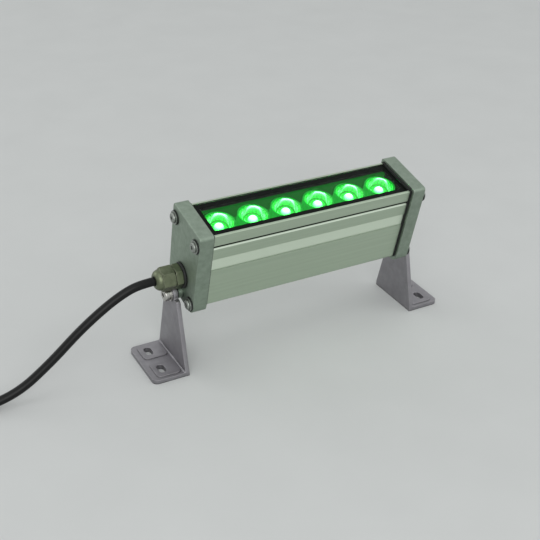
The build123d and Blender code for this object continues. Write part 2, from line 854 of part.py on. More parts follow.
# Distance out of the cable end against height over the gland's axis
gland_middle = section(0).from_local_coords((0, gland_height, 0))
gland_axis = Axis(gland_middle, (-1, 0, 0))
gland_side = Plane(gland_middle, (-1, 0, 0), (0, cos_lean, sin_lean))

with BuildPart() as gland_o_ring:
    with BuildSketch(end_plane(LEFT, cap_face)):
        with Locations((0, gland_height)):
            Circle(o_ring_radius)
    extrude(amount=o_ring_thickness)
    fillet(gland_o_ring.edges(), o_ring_edge)
    with BuildSketch(end_plane(LEFT, cap_face)):
        with Locations((0, gland_height)):
            Circle(gland_thread_radius + thread_gap)
    extrude(amount=o_ring_thickness, mode=Mode.SUBTRACT)
gland_o_ring.part.label = "gland_o_ring"
export_step(gland_o_ring.part, "parts/gland_o_ring.step")

with BuildPart() as gland_body:
    with BuildSketch(gland_side):
        with BuildLine():
            Polyline(
                (cap_face - gland_tail, cord_radius + gland_bore_gap),
                (cap_face - gland_tail, gland_thread_radius),
                (flange_seat, gland_thread_radius),
                (flange_seat, nut_corner_radius - nut_corner),
                (flange_seat + nut_corner, nut_corner_radius),
                (flange_face - nut_corner, nut_corner_radius),
                (flange_face, nut_corner_radius - nut_corner),
                (flange_face, gland_spigot_radius),
                (spigot_end, gland_spigot_radius),
                (spigot_end, bush_radius + thread_gap),
                (bush_floor, bush_radius + thread_gap),
                (bush_floor, cord_radius + gland_bore_gap),
                close=True,
            )
        make_face()
    revolve(axis=gland_axis)
    with BuildSketch(end_plane(LEFT, cap_face - gland_tail)):
        with Locations((0, gland_height)):
            add(hexagon(gland_flats))
    extrude(amount=spigot_end - cap_face + gland_tail, mode=Mode.INTERSECT)
gland_body.part.label = "gland_body"
export_step(gland_body.part, "parts/gland_body.step")

with BuildPart() as gland_seal_bush:
    with BuildSketch(end_plane(LEFT, bush_floor)):
        with Locations((0, gland_height)):
            Circle(bush_radius)
            Circle(cord_radius + thread_gap, mode=Mode.SUBTRACT)
    extrude(amount=spigot_end - bush_floor)
gland_seal_bush.part.label = "gland_seal_bush"
export_step(gland_seal_bush.part, "parts/gland_seal_bush.step")

with BuildPart() as gland_dome_nut:
    with BuildSketch(gland_side):
        with BuildLine():
            Polyline(
                (nut_seat, gland_spigot_radius + thread_gap),
                (nut_seat, nut_corner_radius - nut_corner),
                (nut_seat + nut_corner, nut_corner_radius),
                (nut_skirt_end - nut_corner, nut_corner_radius),
                (nut_skirt_end, nut_shoulder_radius),
            )
            ThreePointArc(
                (nut_skirt_end, nut_shoulder_radius),
                (
                    nut_skirt_end + 0.6 * (nut_end - nut_skirt_end),
                    nut_mouth_radius + 0.72 * (nut_shoulder_radius - nut_mouth_radius),
                ),
                (nut_end, nut_mouth_radius),
            )
            Polyline(
                (nut_end, nut_mouth_radius),
                (nut_end, nut_bore),
                (spigot_end + nut_squeeze, nut_bore),
                (spigot_end + thread_gap, gland_spigot_radius + thread_gap),
                (nut_seat, gland_spigot_radius + thread_gap),
            )
        make_face()
    revolve(axis=gland_axis)
    with BuildSketch(end_plane(LEFT, nut_seat)):
        with Locations((0, gland_height)):
            add(hexagon(gland_flats))
    extrude(amount=nut_length, mode=Mode.INTERSECT)
gland_dome_nut.part.label = "gland_dome_nut"
export_step(gland_dome_nut.part, "parts/gland_dome_nut.step")

with BuildPart() as gland_locknut:
    with BuildSketch(end_plane(LEFT, cap_face - cap_face_thickness)):
        with Locations((0, gland_height)):
            add(hexagon(locknut_flats))
            Circle(gland_thread_radius + thread_gap, mode=Mode.SUBTRACT)
    extrude(amount=-locknut_thickness)
gland_locknut.part.label = "gland_locknut"
export_step(gland_locknut.part, "parts/gland_locknut.step")

# ---------------------------------------------------------------- cord inside the lamp

jacket_end = body_half - cord_strip
with BuildPart() as cord_tail:
    with BuildSketch(end_plane(LEFT, jacket_end)):
        with Locations((0, gland_height)):
            Circle(cord_radius)
    extrude(amount=nut_end - jacket_end)
cord_tail.part.label = "cord_tail"
export_step(cord_tail.part, "parts/cord_tail.step")

terminal_face = terminal_length / 2 - terminal_x
with BuildPart() as supply_cores:
    with BuildSketch(end_plane(LEFT, terminal_face)):
        with Locations((-core_gap / 2, gland_height), (core_gap / 2, gland_height)):
            Circle(core_radius)
    extrude(amount=jacket_end - terminal_face)
supply_cores.part.label = "supply_cores"
export_step(supply_cores.part, "parts/supply_cores.step")

# ---------------------------------------------------------------- power cord

# The cord leaves the gland level, falls to the mounting surface and runs along it
# to its connector.
cord_exit = end_plane(LEFT, nut_end).from_local_coords((0, gland_height, 0))
cord_route = [
    (cord_exit.X, cord_exit.Y, cord_exit.Z),
    (cord_exit.X - 10, cord_exit.Y, cord_exit.Z),
    (-127.5, 2.2, 64.9),
    (-142, 2.3, 56.9),
    (-160, 2.6, 43.8),
    (-180, 3, 25.8),
    (-204, 3.6, 8.2),
    (-232, 5, cord_radius),
    (-262, 12, cord_radius),
    (-292, 13, cord_radius),
    (-322, 6, 4.6),
    (-350, 0, collar_radius),
    (-374, 0, collar_radius),
]
corner_radii = []
for before, corner, after in zip(cord_route, cord_route[1:], cord_route[2:]):
    arriving = Vector(*corner) - Vector(*before)
    leaving = Vector(*after) - Vector(*corner)
    half_turn = math.radians(arriving.get_angle(leaving)) / 2
    corner_radii.append(0.45 * min(arriving.length, leaving.length) / math.tan(half_turn))

with BuildPart() as power_cord:
    with BuildLine() as cord_path:
        FilletPolyline(*cord_route, radius=corner_radii)
    with BuildSketch(Plane(cord_exit, (0, 1, 0), (-1, 0, 0))):
        Circle(cord_radius)
    sweep()
power_cord.part.label = "power_cord"
export_step(power_cord.part, "parts/power_cord.step")

cord_length = sum(edge.length for edge in cord_path.edges())
cord_section = math.pi * cord_radius**2
print("cord length", round(cord_length, 1))
print("cord corner radii", [round(radius, 1) for radius in corner_radii])
print("cord volume over section times length", power_cord.part.volume / cord_section / cord_length)

# ---------------------------------------------------------------- connector

# Distance past the cord's end against height over the connector's axis
cord_end = Vector(*cord_route[-1])
connector_axis = Axis(cord_end, (-1, 0, 0))
connector_side = Plane(cord_end, (-1, 0, 0), (0, 1, 0))
flange_start = boot_length + connector_length
sleeve_start = flange_start + flange_length
sleeve_end = sleeve_start + sleeve_length
pin_floor = sleeve_end - sleeve_depth


def connector_face(s):
    """Plane square to the connector, s past the cord's end, facing away from it."""
    return Plane(cord_end + Vector(-s, 0, 0), (0, 1, 0), (-1, 0, 0))


boot_start_radius = cord_radius + boot_wall
boot_points = []
for i in range(boot_groove_count):
    for share, depth in ((0.1, 0), (0.1, 1), (0.6, 1), (0.6, 0)):
        along = (i + share + 0.3) / (boot_groove_count + 1)
        radius = boot_start_radius + along * (boot_radius - boot_start_radius)
        boot_points.append((along * boot_length, radius - depth * boot_groove))

with BuildPart() as connector_boot:
    with BuildSketch(connector_side):
        with BuildLine():
            Polyline(
                (0, 0),
                (0, boot_start_radius),
                *boot_points,
                (boot_length, boot_radius),
                (boot_length, 0),
                close=True,
            )
        make_face()
    revolve(axis=connector_axis)
connector_boot.part.label = "connector_boot"
export_step(connector_boot.part, "parts/connector_boot.step")

with BuildPart() as connector_body:
    with BuildSketch(connector_side):
        with BuildLine():
            Polyline(
                (boot_length, 0),
                (boot_length, connector_radius),
                (flange_start, connector_radius),
                (flange_start, flange_radius),
                (sleeve_start, flange_radius),
                (sleeve_start, sleeve_radius),
                (sleeve_end, sleeve_radius),
                (sleeve_end, sleeve_radius - sleeve_wall),
                (pin_floor, sleeve_radius - sleeve_wall),
                (pin_floor, 0),
                close=True,
            )
        make_face()
    revolve(axis=connector_axis)
connector_body.part.label = "connector_body"
export_step(connector_body.part, "parts/connector_body.step")

with BuildPart() as connector_pins:
    with BuildSketch(connector_face(pin_floor)):
        with PolarLocations(pin_circle, pin_count, start_angle=90):
            Circle(pin_radius)
    extrude(amount=pin_length)
connector_pins.part.label = "connector_pins"
export_step(connector_pins.part, "parts/connector_pins.step")

with BuildPart() as connector_o_ring:
    with BuildSketch(connector_side):
        with Locations((sleeve_start + seal_ring_radius, sleeve_radius + seal_ring_radius)):
            Circle(seal_ring_radius)
    revolve(axis=connector_axis)
connector_o_ring.part.label = "connector_o_ring"
export_step(connector_o_ring.part, "parts/connector_o_ring.step")

with BuildPart() as connector_collar:
    collar_start = flange_start - collar_gap - collar_lip
    collar_bore = collar_radius - collar_wall
    with BuildSketch(connector_side):
        with BuildLine():
            Polyline(
                (collar_start, connector_radius + collar_gap),
                (collar_start, collar_radius - pad_edge),
                (collar_start + pad_edge, collar_radius),
                (sleeve_end - pad_edge, collar_radius),
                (sleeve_end, collar_radius - pad_edge),
                (sleeve_end, collar_bore),
                (flange_start - collar_gap, collar_bore),
                (flange_start - collar_gap, connector_radius + collar_gap),
                close=True,
            )
        make_face()
    revolve(axis=connector_axis)
    with BuildSketch(connector_face(collar_start)):
        with PolarLocations(
            collar_radius + collar_groove_radius / 3,
            collar_groove_count,
            start_angle=180 / collar_groove_count,
        ):
            Circle(collar_groove_radius)
    extrude(amount=sleeve_end - collar_start, mode=Mode.SUBTRACT)
connector_collar.part.label = "connector_collar"
export_step(connector_collar.part, "parts/connector_collar.step")
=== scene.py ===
"""Outdoor wall washer light: the looks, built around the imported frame.

Lengths in the classes are millimetres, and MM turns them to Blender's metres. The
lamp has a section frame of its own, the same as in the part's source: x along it,
u across it and v up it, measured from the pivot axis.
"""

import json
import logging
import math
from dataclasses import dataclass, field
from enum import Enum, IntEnum
from typing import ClassVar

import bmesh
import bpy
import numpy as np
from mathutils import Matrix, Vector


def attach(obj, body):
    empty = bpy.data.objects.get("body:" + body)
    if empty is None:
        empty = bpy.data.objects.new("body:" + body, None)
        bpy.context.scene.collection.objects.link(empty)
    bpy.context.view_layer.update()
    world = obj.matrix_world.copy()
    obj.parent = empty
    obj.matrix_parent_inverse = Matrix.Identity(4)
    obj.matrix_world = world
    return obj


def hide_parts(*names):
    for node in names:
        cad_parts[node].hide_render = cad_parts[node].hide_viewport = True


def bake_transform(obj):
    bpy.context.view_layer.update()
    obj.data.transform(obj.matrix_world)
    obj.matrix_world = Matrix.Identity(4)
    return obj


MM = 0.001
MEET = 1e-3 * MM  # points nearer than this are one point
LAMP_BODY = "lamp"
BASE_BODY = "brackets"
# Degrees between the two faces at an edge
NEW_CREASE = 35.0  # from here a computed surface stays sharp
PLANE_WITHIN = 1.0  # up to here a copied piece's faces become one
ROUND_FROM = 50.0  # from here a copied piece's edge is rounded
ROUNDED_CREASE = 30.0  # from here it stays sharp after that
ROUND_STEPS = 3  # facets across a rounded edge
# Sockets of a Mix node for colours, by place: its share, its two colours and its result
SHARE, UNDER, OVER, MIXED = 0, 6, 7, 2

Tree = bpy.types.NodeTree
Node = bpy.types.Node
Socket = bpy.types.NodeSocket
Triple = tuple[float, float, float]
Span = tuple[float, float]

log = logging.getLogger("wall_washer")
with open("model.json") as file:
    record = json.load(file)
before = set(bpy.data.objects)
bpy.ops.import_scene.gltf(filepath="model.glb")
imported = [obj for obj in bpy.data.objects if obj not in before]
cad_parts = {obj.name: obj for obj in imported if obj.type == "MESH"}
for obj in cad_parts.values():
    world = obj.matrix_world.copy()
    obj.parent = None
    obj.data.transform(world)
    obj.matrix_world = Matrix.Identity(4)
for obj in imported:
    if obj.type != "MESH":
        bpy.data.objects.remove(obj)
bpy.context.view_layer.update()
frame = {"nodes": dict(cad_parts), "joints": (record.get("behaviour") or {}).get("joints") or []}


class End(Enum):
    """The two ends of the lamp, as the frame's nodes spell them."""

    LEFT = "left"
    RIGHT = "right"


class LensFace(IntEnum):
    """The faces of a lens, numbered as its piece's finishes are."""

    CROWN = 0
    FLANK = 1
    WELL = 2


# ---- colour and nodes


def linear(code: str) -> tuple[float, float, float, float]:
    """Turn an sRGB hex colour into the linear values that shaders use.

    Each channel c becomes c / 12.92 below 0.04045, else ((c + 0.055) / 1.055) ^ 2.4.

    Args:
        code: colour as "#rrggbb".

    Returns:
        The linear red, green and blue, and an alpha of 1.
    """
    channels = [int(code[i : i + 2], 16) / 255 for i in (1, 3, 5)]
    lit = [c / 12.92 if c <= 0.04045 else ((c + 0.055) / 1.055) ** 2.4 for c in channels]
    return (lit[0], lit[1], lit[2], 1.0)


def add_node(tree: Tree, kind: str, settings: dict | None = None, links: dict | None = None) -> Node:
    """Add one node to a tree, with its settings and what feeds it.

    Args:
        tree: the node tree.
        kind: Blender's type name for the node, less the ShaderNode that it starts with.
        settings: values by attribute name, or by the name or place of a socket.
        links: source sockets by the name or place of the socket that they feed.

    Returns:
        The new node.
    """
    node = tree.nodes.new(f"ShaderNode{kind}")
    for name, value in (settings or {}).items():
        if isinstance(name, str) and hasattr(node, name):
            setattr(node, name, value)
        else:
            node.inputs[name].default_value = value
    for name, source in (links or {}).items():
        tree.links.new(source, node.inputs[name])
    return node


def per_metre(size: float) -> float:
    """Pattern scale for a feature of that many millimetres."""
    return 1 / (size * MM)


@dataclass(frozen=True)
class Finish:
    """A surface finish: two close tones in a soft mottle, shine, grain and bright edges, part rubbed
    wear and part painted highlight.

    The mottle mixes the two tones and moves the roughness with them. The grain is
    noise read as height. The edge tone lies where rounded normals leave the flat ones.
    Grooves and inner corners take a painted shade.
    """

    name: str
    tone: str
    shade: str
    metallic: float = 0.0
    roughness: Span = (0.3, 0.4)
    mottle: float = 3.0  # mm across one patch
    grain: float = 0.5  # mm across one grain
    grain_height: float = 0.01  # mm
    stretch: Triple = (1.0, 1.0, 1.0)
    edge_round: float = 0.0  # mm
    # edge tone: part rubbed wear and part painted highlight, along edges
    edge_wear_and_highlight_tone: str = ""
    crevice: float = 0.0  # mm that shade reaches out of a corner
    # painted shade, laid in grooves and inner corners
    crevice_shade_tone: str = "#20261f"
    extra: dict[str, float | tuple] = field(default_factory=dict)  # other sockets of the shader

    # What every finish shares
    mottle_detail: ClassVar[float] = 4.0
    mottle_span: ClassVar[Span] = (0.3, 0.7)  # noise where all is shade, and all is tone
    grain_detail: ClassVar[float] = 3.0
    edge_samples: ClassVar[int] = 4
    # cosines at which the edge tone starts and is full; it is part wear, part painted highlight
    edge_span: ClassVar[Span] = (0.99, 0.85)  # cosine between the normals, unworn and worn
    edge_share: ClassVar[float] = 0.75
    crevice_samples: ClassVar[int] = 6
    crevice_span: ClassVar[Span] = (0.95, 0.3)  # openness, unshaded and fully shaded
    crevice_share: ClassVar[float] = 0.9

    def material(self) -> bpy.types.Material:
        """Build the material, or give the one that is already there.

        Returns:
            The finish's one material.
        """
        ready = bpy.data.materials.get(self.name)
        if ready:
            return ready
        material = bpy.data.materials.new(self.name)
        material.use_nodes = True
        tree = material.node_tree
        tree.nodes.clear()
        output = add_node(tree, "OutputMaterial")
        shader = add_node(tree, "BsdfPrincipled", {"Metallic": self.metallic, **self.extra})
        tree.links.new(shader.outputs["BSDF"], output.inputs["Surface"])
        self.paint(tree, shader)
        return material

    def coordinates(self, tree: Tree) -> Socket:
        """Object coordinates, stretched so that a pattern runs along an axis."""
        place = add_node(tree, "TexCoord").outputs["Object"]
        return add_node(tree, "Mapping", {"Scale": self.stretch}, {"Vector": place}).outputs["Vector"]

    def paint(self, tree: Tree, shader: Node) -> None:
        """Feed the shader its colour, roughness and normal.

        Args:
            tree: the material's node tree.
            shader: its Principled shader.
        """
        where = self.coordinates(tree)
        settings = {"Scale": per_metre(self.mottle), "Detail": self.mottle_detail}
        patches = add_node(tree, "TexNoise", settings, {"Vector": where}).outputs["Fac"]
        low, high = self.mottle_span
        spread = add_node(tree, "MapRange", {"From Min": low, "From Max": high}, {"Value": patches})
        colour = add_node(
            tree,
            "Mix",
            {"data_type": "RGBA", UNDER: linear(self.shade), OVER: linear(self.tone)},
            {SHARE: spread.outputs[0]},
        ).outputs[MIXED]
        smooth, rough = self.roughness
        shine = add_node(tree, "MapRange", {"To Min": rough, "To Max": smooth}, {"Value": patches})
        tree.links.new(shine.outputs[0], shader.inputs["Roughness"])
        rounded = None
        if self.edge_round:
            settings = {"samples": self.edge_samples, "Radius": self.edge_round * MM}
            rounded = add_node(tree, "Bevel", settings).outputs["Normal"]
        # bright edges: part rubbed wear, part painted highlight
        if self.edge_wear_and_highlight_tone:
            colour = self.worn_and_highlit_edges(tree, colour, rounded)
        # painted shade in grooves and inner corners
        if self.crevice:
            colour = self.painted_crevice_shade(tree, colour)
        tree.links.new(colour, shader.inputs["Base Color"])
        settings = {"Scale": per_metre(self.grain), "Detail": self.grain_detail}
        grains = add_node(tree, "TexNoise", settings, {"Vector": where}).outputs["Fac"]
        bump = add_node(tree, "Bump", {"Distance": self.grain_height * MM}, {"Height": grains})
        if rounded:
            tree.links.new(rounded, bump.inputs["Normal"])
        tree.links.new(bump.outputs["Normal"], shader.inputs["Normal"])

    def painted_crevice_shade(self, tree: Tree, colour: Socket) -> Socket:
        """Paint shade into grooves and inner corners, darkest where the surface is least open.

        Args:
            tree: the material's node tree.
            colour: what the surface shows in the open.

        Returns:
            The colour, with painted shade in grooves and corners.
        """
        settings = {"samples": self.crevice_samples, "Distance": self.crevice * MM}
        openness = add_node(tree, "AmbientOcclusion", settings).outputs["AO"]
        bare, shaded = self.crevice_span
        span = {"From Min": bare, "From Max": shaded, "To Max": self.crevice_share}
        depth = add_node(tree, "MapRange", span, {"Value": openness})
        over = {"data_type": "RGBA", OVER: linear(self.crevice_shade_tone)}
        return add_node(tree, "Mix", over, {SHARE: depth.outputs[0], UNDER: colour}).outputs[MIXED]

    def worn_and_highlit_edges(self, tree: Tree, colour: Socket, rounded: Socket) -> Socket:
        """Lay the edge tone, part rubbed wear and part painted highlight, where the rounded normal turns
        away from the flat one.

        Args:
            tree: the material's node tree.
            colour: what the surface shows away from its edges.
            rounded: the normal with its edges rounded.

        Returns:
            The colour, bright along edges with rubbed wear and a painted highlight.
        """
        flat = add_node(tree, "NewGeometry").outputs["Normal"]
        agree = add_node(tree, "VectorMath", {"operation": "DOT_PRODUCT"}, {0: rounded, 1: flat})
        edge_bare_at, edge_full_at = self.edge_span
        span = {"From Min": edge_bare_at, "From Max": edge_full_at, "To Max": self.edge_share}
        rub_and_highlight = add_node(tree, "MapRange", span, {"Value": agree.outputs["Value"]})
        over = {"data_type": "RGBA", OVER: linear(self.edge_wear_and_highlight_tone)}
        return add_node(tree, "Mix", over, {SHARE: rub_and_highlight.outputs[0], UNDER: colour}).outputs[MIXED]


@dataclass(frozen=True)
class LitMoulding(Finish):
    """Clear moulding full of its lamp's light, which falls along its outline in rays.

    The piece's UV map runs round it in u and along its outline in v. Between two places
    on v the glow and its colour change evenly. The glow is also times a ray, which is
    1 plus the ray depth times the sine of 2 pi rays u plus the ray bend times a noise.
    """

    near_at: float = 0.74
    near_glow: float = 1.0
    near_light: str = "#00dc38"
    far_at: float = 0.34
    far_glow: float = 0.3
    far_light: str = "#00c030"
    rays: float = 17.0
    ray_depth: float = 0.75
    ray_bend: float = 10.0

    def paint(self, tree: Tree, shader: Node) -> None:
        """Feed the shader as any finish does, and add the glow.

        Args:
            tree: the material's node tree.
            shader: its Principled shader.
        """
        super().paint(tree, shader)
        outline = add_node(tree, "UVMap").outputs["UV"]
        around, along, _ = add_node(tree, "SeparateXYZ", links={0: outline}).outputs
        span = {"From Min": self.far_at, "From Max": self.near_at}
        nearness = add_node(tree, "MapRange", span, {"Value": along}).outputs[0]
        light = add_node(
            tree,
            "Mix",
            {"data_type": "RGBA", UNDER: linear(self.far_light), OVER: linear(self.near_light)},
            {SHARE: nearness},
        ).outputs[MIXED]
        span = {"To Min": self.far_glow, "To Max": self.near_glow}
        fall = add_node(tree, "MapRange", span, {"Value": nearness}).outputs[0]
        where = {"Vector": self.coordinates(tree)}
        flow = add_node(tree, "TexNoise", {"Scale": per_metre(self.mottle)}, where).outputs["Fac"]
        whole = {"operation": "MULTIPLY", 1: 2 * math.pi * self.rays}
        turn = add_node(tree, "Math", whole, {0: around}).outputs[0]
        bend = {"operation": "MULTIPLY_ADD", 1: self.ray_bend}
        bent = add_node(tree, "Math", bend, {0: flow, 2: turn}).outputs[0]
        wave = add_node(tree, "Math", {"operation": "SINE"}, {0: bent}).outputs[0]
        depth = {"operation": "MULTIPLY_ADD", 1: self.ray_depth, 2: 1.0}
        ray = add_node(tree, "Math", depth, {0: wave}).outputs[0]
        glow = add_node(tree, "Math", {"operation": "MULTIPLY"}, {0: ray, 1: fall}).outputs[0]
        tree.links.new(light, shader.inputs["Emission Color"])
        tree.links.new(glow, shader.inputs["Emission Strength"])


@dataclass(frozen=True)
class Stripe:
    """A stripe along the lamp, by its heights above the pivot axis, and its tone."""

    low: float
    high: float
    tone: str
    soft: float  # mm that each border fades to either side


@dataclass(frozen=True)
class StripedExtrusion(Finish):
    """An extrusion with a painted shade in its groove, a painted highlight on its ledge, a lighter band
    of painted highlight over its ribs, and a lit channel.

    The height is the dot product of the place with the lamp's up direction, less the
    pivot's, and a stripe's share is the lesser of its rise and its fall. The channel
    under the window is what lies above its floor and near enough to the lamp's middle.
    It takes up the green of the lamps in it, so it shows as a lit colour and no metal.
    """

    stripes: tuple[Stripe, ...] = ()
    lit_half: float = 12.45  # mm to either side of the middle
    lit_floor: float = 40.8  # mm above the pivot axis
    lit_tone: str = "#0b3d1a"
    lit_glow: float = 0.16

    def paint(self, tree: Tree, shader: Node) -> None:
        """Feed the shader as any finish does, and lay stripes and channel over it.

        Args:
            tree: the material's node tree.
            shader: its Principled shader.
        """
        super().paint(tree, shader)
        colour = shader.inputs["Base Color"].links[0].from_socket
        place = add_node(tree, "TexCoord").outputs["Object"]
        rise, across = (
            add_node(
                tree, "VectorMath", {"operation": "DOT_PRODUCT", 1: tuple(way)}, {0: place}
            ).outputs["Value"]
            for way in (LAMP.up(), LAMP.across())
        )
        for stripe in self.stripes:
            colour = self.lay_stripe(tree, stripe, rise, colour)
        colour = self.channel(tree, shader, rise, across, colour)
        tree.links.new(colour, shader.inputs["Base Color"])

    def lay_stripe(self, tree: Tree, stripe: Stripe, rise: Socket, colour: Socket) -> Socket:
        """Lay one stripe over the colour.

        Args:
            tree: the material's node tree.
            stripe: what to lay.
            rise: height up the lamp, in metres.
            colour: what the surface shows without it.

        Returns:
            The colour with the stripe on it.
        """
        base = LAMP.pivot.dot(LAMP.up())
        rising, falling = (
            add_node(
                tree,
                "MapRange",
                {
                    "From Min": base + (edge - side * stripe.soft) * MM,
                    "From Max": base + (edge + side * stripe.soft) * MM,
                },
                {"Value": rise},
            ).outputs[0]
            for edge, side in ((stripe.low, 1), (stripe.high, -1))
        )
        share = add_node(tree, "Math", {"operation": "MINIMUM"}, {0: rising, 1: falling}).outputs[0]
        over = {"data_type": "RGBA", OVER: linear(stripe.tone)}
        return add_node(tree, "Mix", over, {SHARE: share, UNDER: colour}).outputs[MIXED]

    def channel(self, tree: Tree, shader: Node, rise: Socket, across: Socket, colour: Socket) -> Socket:
        """Tint the channel under the window with the green of the lamps in it.

        Args:
            tree: the material's node tree.
            shader: its Principled shader, which takes the channel's glow.
            rise: height up the lamp, in metres.
            across: place across the lamp, in metres.
            colour: what the surface shows outside the channel.

        Returns:
            The colour with the channel's tone in it.
        """
        middle = LAMP.pivot.dot(LAMP.across())
        floor = LAMP.pivot.dot(LAMP.up()) + self.lit_floor * MM
        near = {"operation": "COMPARE", 1: middle, 2: self.lit_half * MM}
        inside = add_node(tree, "Math", near, {0: across}).outputs[0]
        above = add_node(tree, "Math", {"operation": "GREATER_THAN", 1: floor}, {0: rise}).outputs[0]
        lit = add_node(tree, "Math", {"operation": "MULTIPLY"}, {0: inside, 1: above}).outputs[0]
        glow = add_node(tree, "Math", {"operation": "MULTIPLY", 1: self.lit_glow}, {0: lit}).outputs[0]
        bare = add_node(tree, "Math", {"operation": "SUBTRACT", 0: 1.0}, {1: lit}).outputs[0]
        tree.links.new(glow, shader.inputs["Emission Strength"])
        tree.links.new(bare, shader.inputs["Metallic"])
        over = {"data_type": "RGBA", OVER: linear(self.lit_tone)}
        return add_node(tree, "Mix", over, {SHARE: lit, UNDER: colour}).outputs[MIXED]


# Drawn and anodised aluminium: satin, with fine die lines that run along the lamp. The green in its
# tones is a painted cast of the lamps' light.
ANODISED_EXTRUSION = StripedExtrusion(
    "anodised_extruded_aluminium",
    tone="#b9c8b4",
    shade="#b2c1ad",
    metallic=1.0,
    roughness=(0.38, 0.46),
    mottle=1.4,
    grain=0.45,
    grain_height=0.012,
    stretch=(0.012, 1.0, 1.0),
    edge_round=0.25,
    edge_wear_and_highlight_tone="#cbd8c6",
    stripes=(
        # painted shade: the dark line under the lip, in the groove
        Stripe(47.9, 49.8, "#10140f", 0.15),
        # painted highlight: the ledge under the groove, which faces up to the light
        Stripe(46.8, 47.6, "#dbe7d6", 0.2),
        # painted highlight: a lighter band over the ribs
        Stripe(29.8, 37.6, "#c8d5c3", 0.4),
    ),
    extra={"Specular IOR Level": 0.1, "Emission Color": linear("#04cc38")},
)
# Blasted cast aluminium under clear anodising: a matt, slightly blotchy grey, with a painted green cast
# of the lamps' light in its tones.
CAST_CAP = Finish(
    "blasted_cast_aluminium",
    tone="#98a698",
    shade="#8b998b",
    metallic=1.0,
    roughness=(0.48, 0.6),
    mottle=4.0,
    grain=0.7,
    grain_height=0.07,
    edge_round=0.5,
    edge_wear_and_highlight_tone="#aab3a9",
    crevice=1.2,
)
# The brackets are cut and bent plate with the same blasted, anodised skin.
BRACKET_PLATE = Finish(
    "blasted_anodised_plate",
    tone="#9b999d",
    shade="#908e92",
    metallic=1.0,
    roughness=(0.46, 0.58),
    mottle=7.0,
    grain=0.6,
    grain_height=0.05,
    edge_round=0.4,
    edge_wear_and_highlight_tone="#b6b4b8",
    crevice=1.0,
)
# Moulded silicone rubber: matt black with a dusty grain.
BLACK_RUBBER = Finish(
    "moulded_silicone_rubber",
    tone="#1d1f1e",
    shade="#121413",
    roughness=(0.6, 0.75),
    grain=0.4,
    grain_height=0.02,
)
# Toughened float glass with an anti-glare coating, faintly green: clear, with polished
# faces, and an index low enough that the coated faces hardly mirror the surround.
COVER_GLASS = Finish(
    "toughened_float_glass",
    tone="#f2fbf4",
    shade="#eaf7ee",
    roughness=(0.0, 0.02),
    mottle=30.0,
    grain=20.0,
    grain_height=0.001,
    extra={"Transmission Weight": 1.0, "IOR": 1.17},
)
# Clear moulded acrylic of the lenses' crowns: polished, and faintly lit from below.
LENS_ACRYLIC = Finish(
    "clear_moulded_acrylic",
    tone="#8cf7a8",
    shade="#74ee95",
    roughness=(0.0, 0.04),
    mottle=6.0,
    grain=2.5,
    grain_height=0.004,
    extra={
        "Transmission Weight": 1.0,
        "IOR": 1.49,
        "Specular IOR Level": 0.08,
        "Emission Color": linear("#00d93c"),
        "Emission Strength": 0.1,
    },
)
# The flank under the crown: the same acrylic, which fills with green in soft rays.
LENS_FLANK = LitMoulding(
    "lit_acrylic_flank",
    tone="#62e884",
    shade="#38d464",
    roughness=(0.05, 0.3),
    mottle=5.0,
    grain=2.0,
    grain_height=0.006,
    extra={"Transmission Weight": 1.0, "IOR": 1.49, "Specular IOR Level": 0.2},
)
# The well over the lamp: the hot spot that shows through the lens.
LENS_WELL = LitMoulding(
    "lit_acrylic_well",
    tone="#d8ffe0",
    shade="#c0ffcd",
    roughness=(0.1, 0.2),
    mottle=2.0,
    grain=0.8,
    grain_height=0.004,
    near_at=0.94,
    near_glow=9.0,
    near_light="#b4ffc4",
    far_at=0.74,
    far_glow=0.8,
    far_light="#10e048",
    ray_depth=0.2,
)
# Moulded holders, lit green by their own lamps.
LENS_HOLDER = Finish(
    "moulded_lit_holder",
    tone="#1f8a3c",
    shade="#0a4a1c",
    roughness=(0.3, 0.45),
    extra={
        "Specular IOR Level": 0.05,
        "Emission Color": linear("#06d23a"),
        "Emission Strength": 0.5,
    },
)
# Glass-epoxy board under green solder mask, in the light of its own lamps.
CIRCUIT_BOARD = Finish(
    "solder_masked_board",
    tone="#0d7a30",
    shade="#064a1a",
    roughness=(0.25, 0.4),
    mottle=3.5,
    extra={
        "Specular IOR Level": 0.04,
        "Emission Color": linear("#02c833"),
        "Emission Strength": 0.28,
    },
)
# The driver's board is the same laminate, unlit.
DRIVER_BOARD = Finish(
    "plain_solder_masked_board",
    tone="#17703a",
    shade="#0e4f27",
    roughness=(0.25, 0.4),
    mottle=1.6,
)
# Filled silicone sheet: soft, pale and matt.
THERMAL_PAD = Finish(
    "filled_silicone_sheet",
    tone="#a9adb0",
    shade="#94989b",
    roughness=(0.7, 0.85),
    mottle=2.0,
    grain_height=0.03,
)
# Resin dome over a green chip, switched on: so bright that its middle looks white.
LED_PACKAGE = Finish(
    "lit_resin_package",
    tone="#c9ffd2",
    shade="#8dffa6",
    roughness=(0.1, 0.2),
    mottle=1.0,
    grain=0.4,
    grain_height=0.002,
    extra={"Emission Color": linear("#a8ffba"), "Emission Strength": 6.0},
)
# Fired enamel round the glass: a black print with a soft gloss.
GLASS_ENAMEL = Finish(
    "fired_black_enamel",
    tone="#070c08",
    shade="#030604",
    grain=0.3,
    grain_height=0.002,
    extra={"Specular IOR Level": 0.08},
)
# Moulded parts of the driver: charcoal resin with a light grain.
DRIVER_PARTS = Finish(
    "moulded_driver_parts",
    tone="#34363a",
    shade="#232528",
    roughness=(0.35, 0.5),
    mottle=7.0,
    grain_height=0.015,
    edge_round=0.3,
    edge_wear_and_highlight_tone="#505358",
)
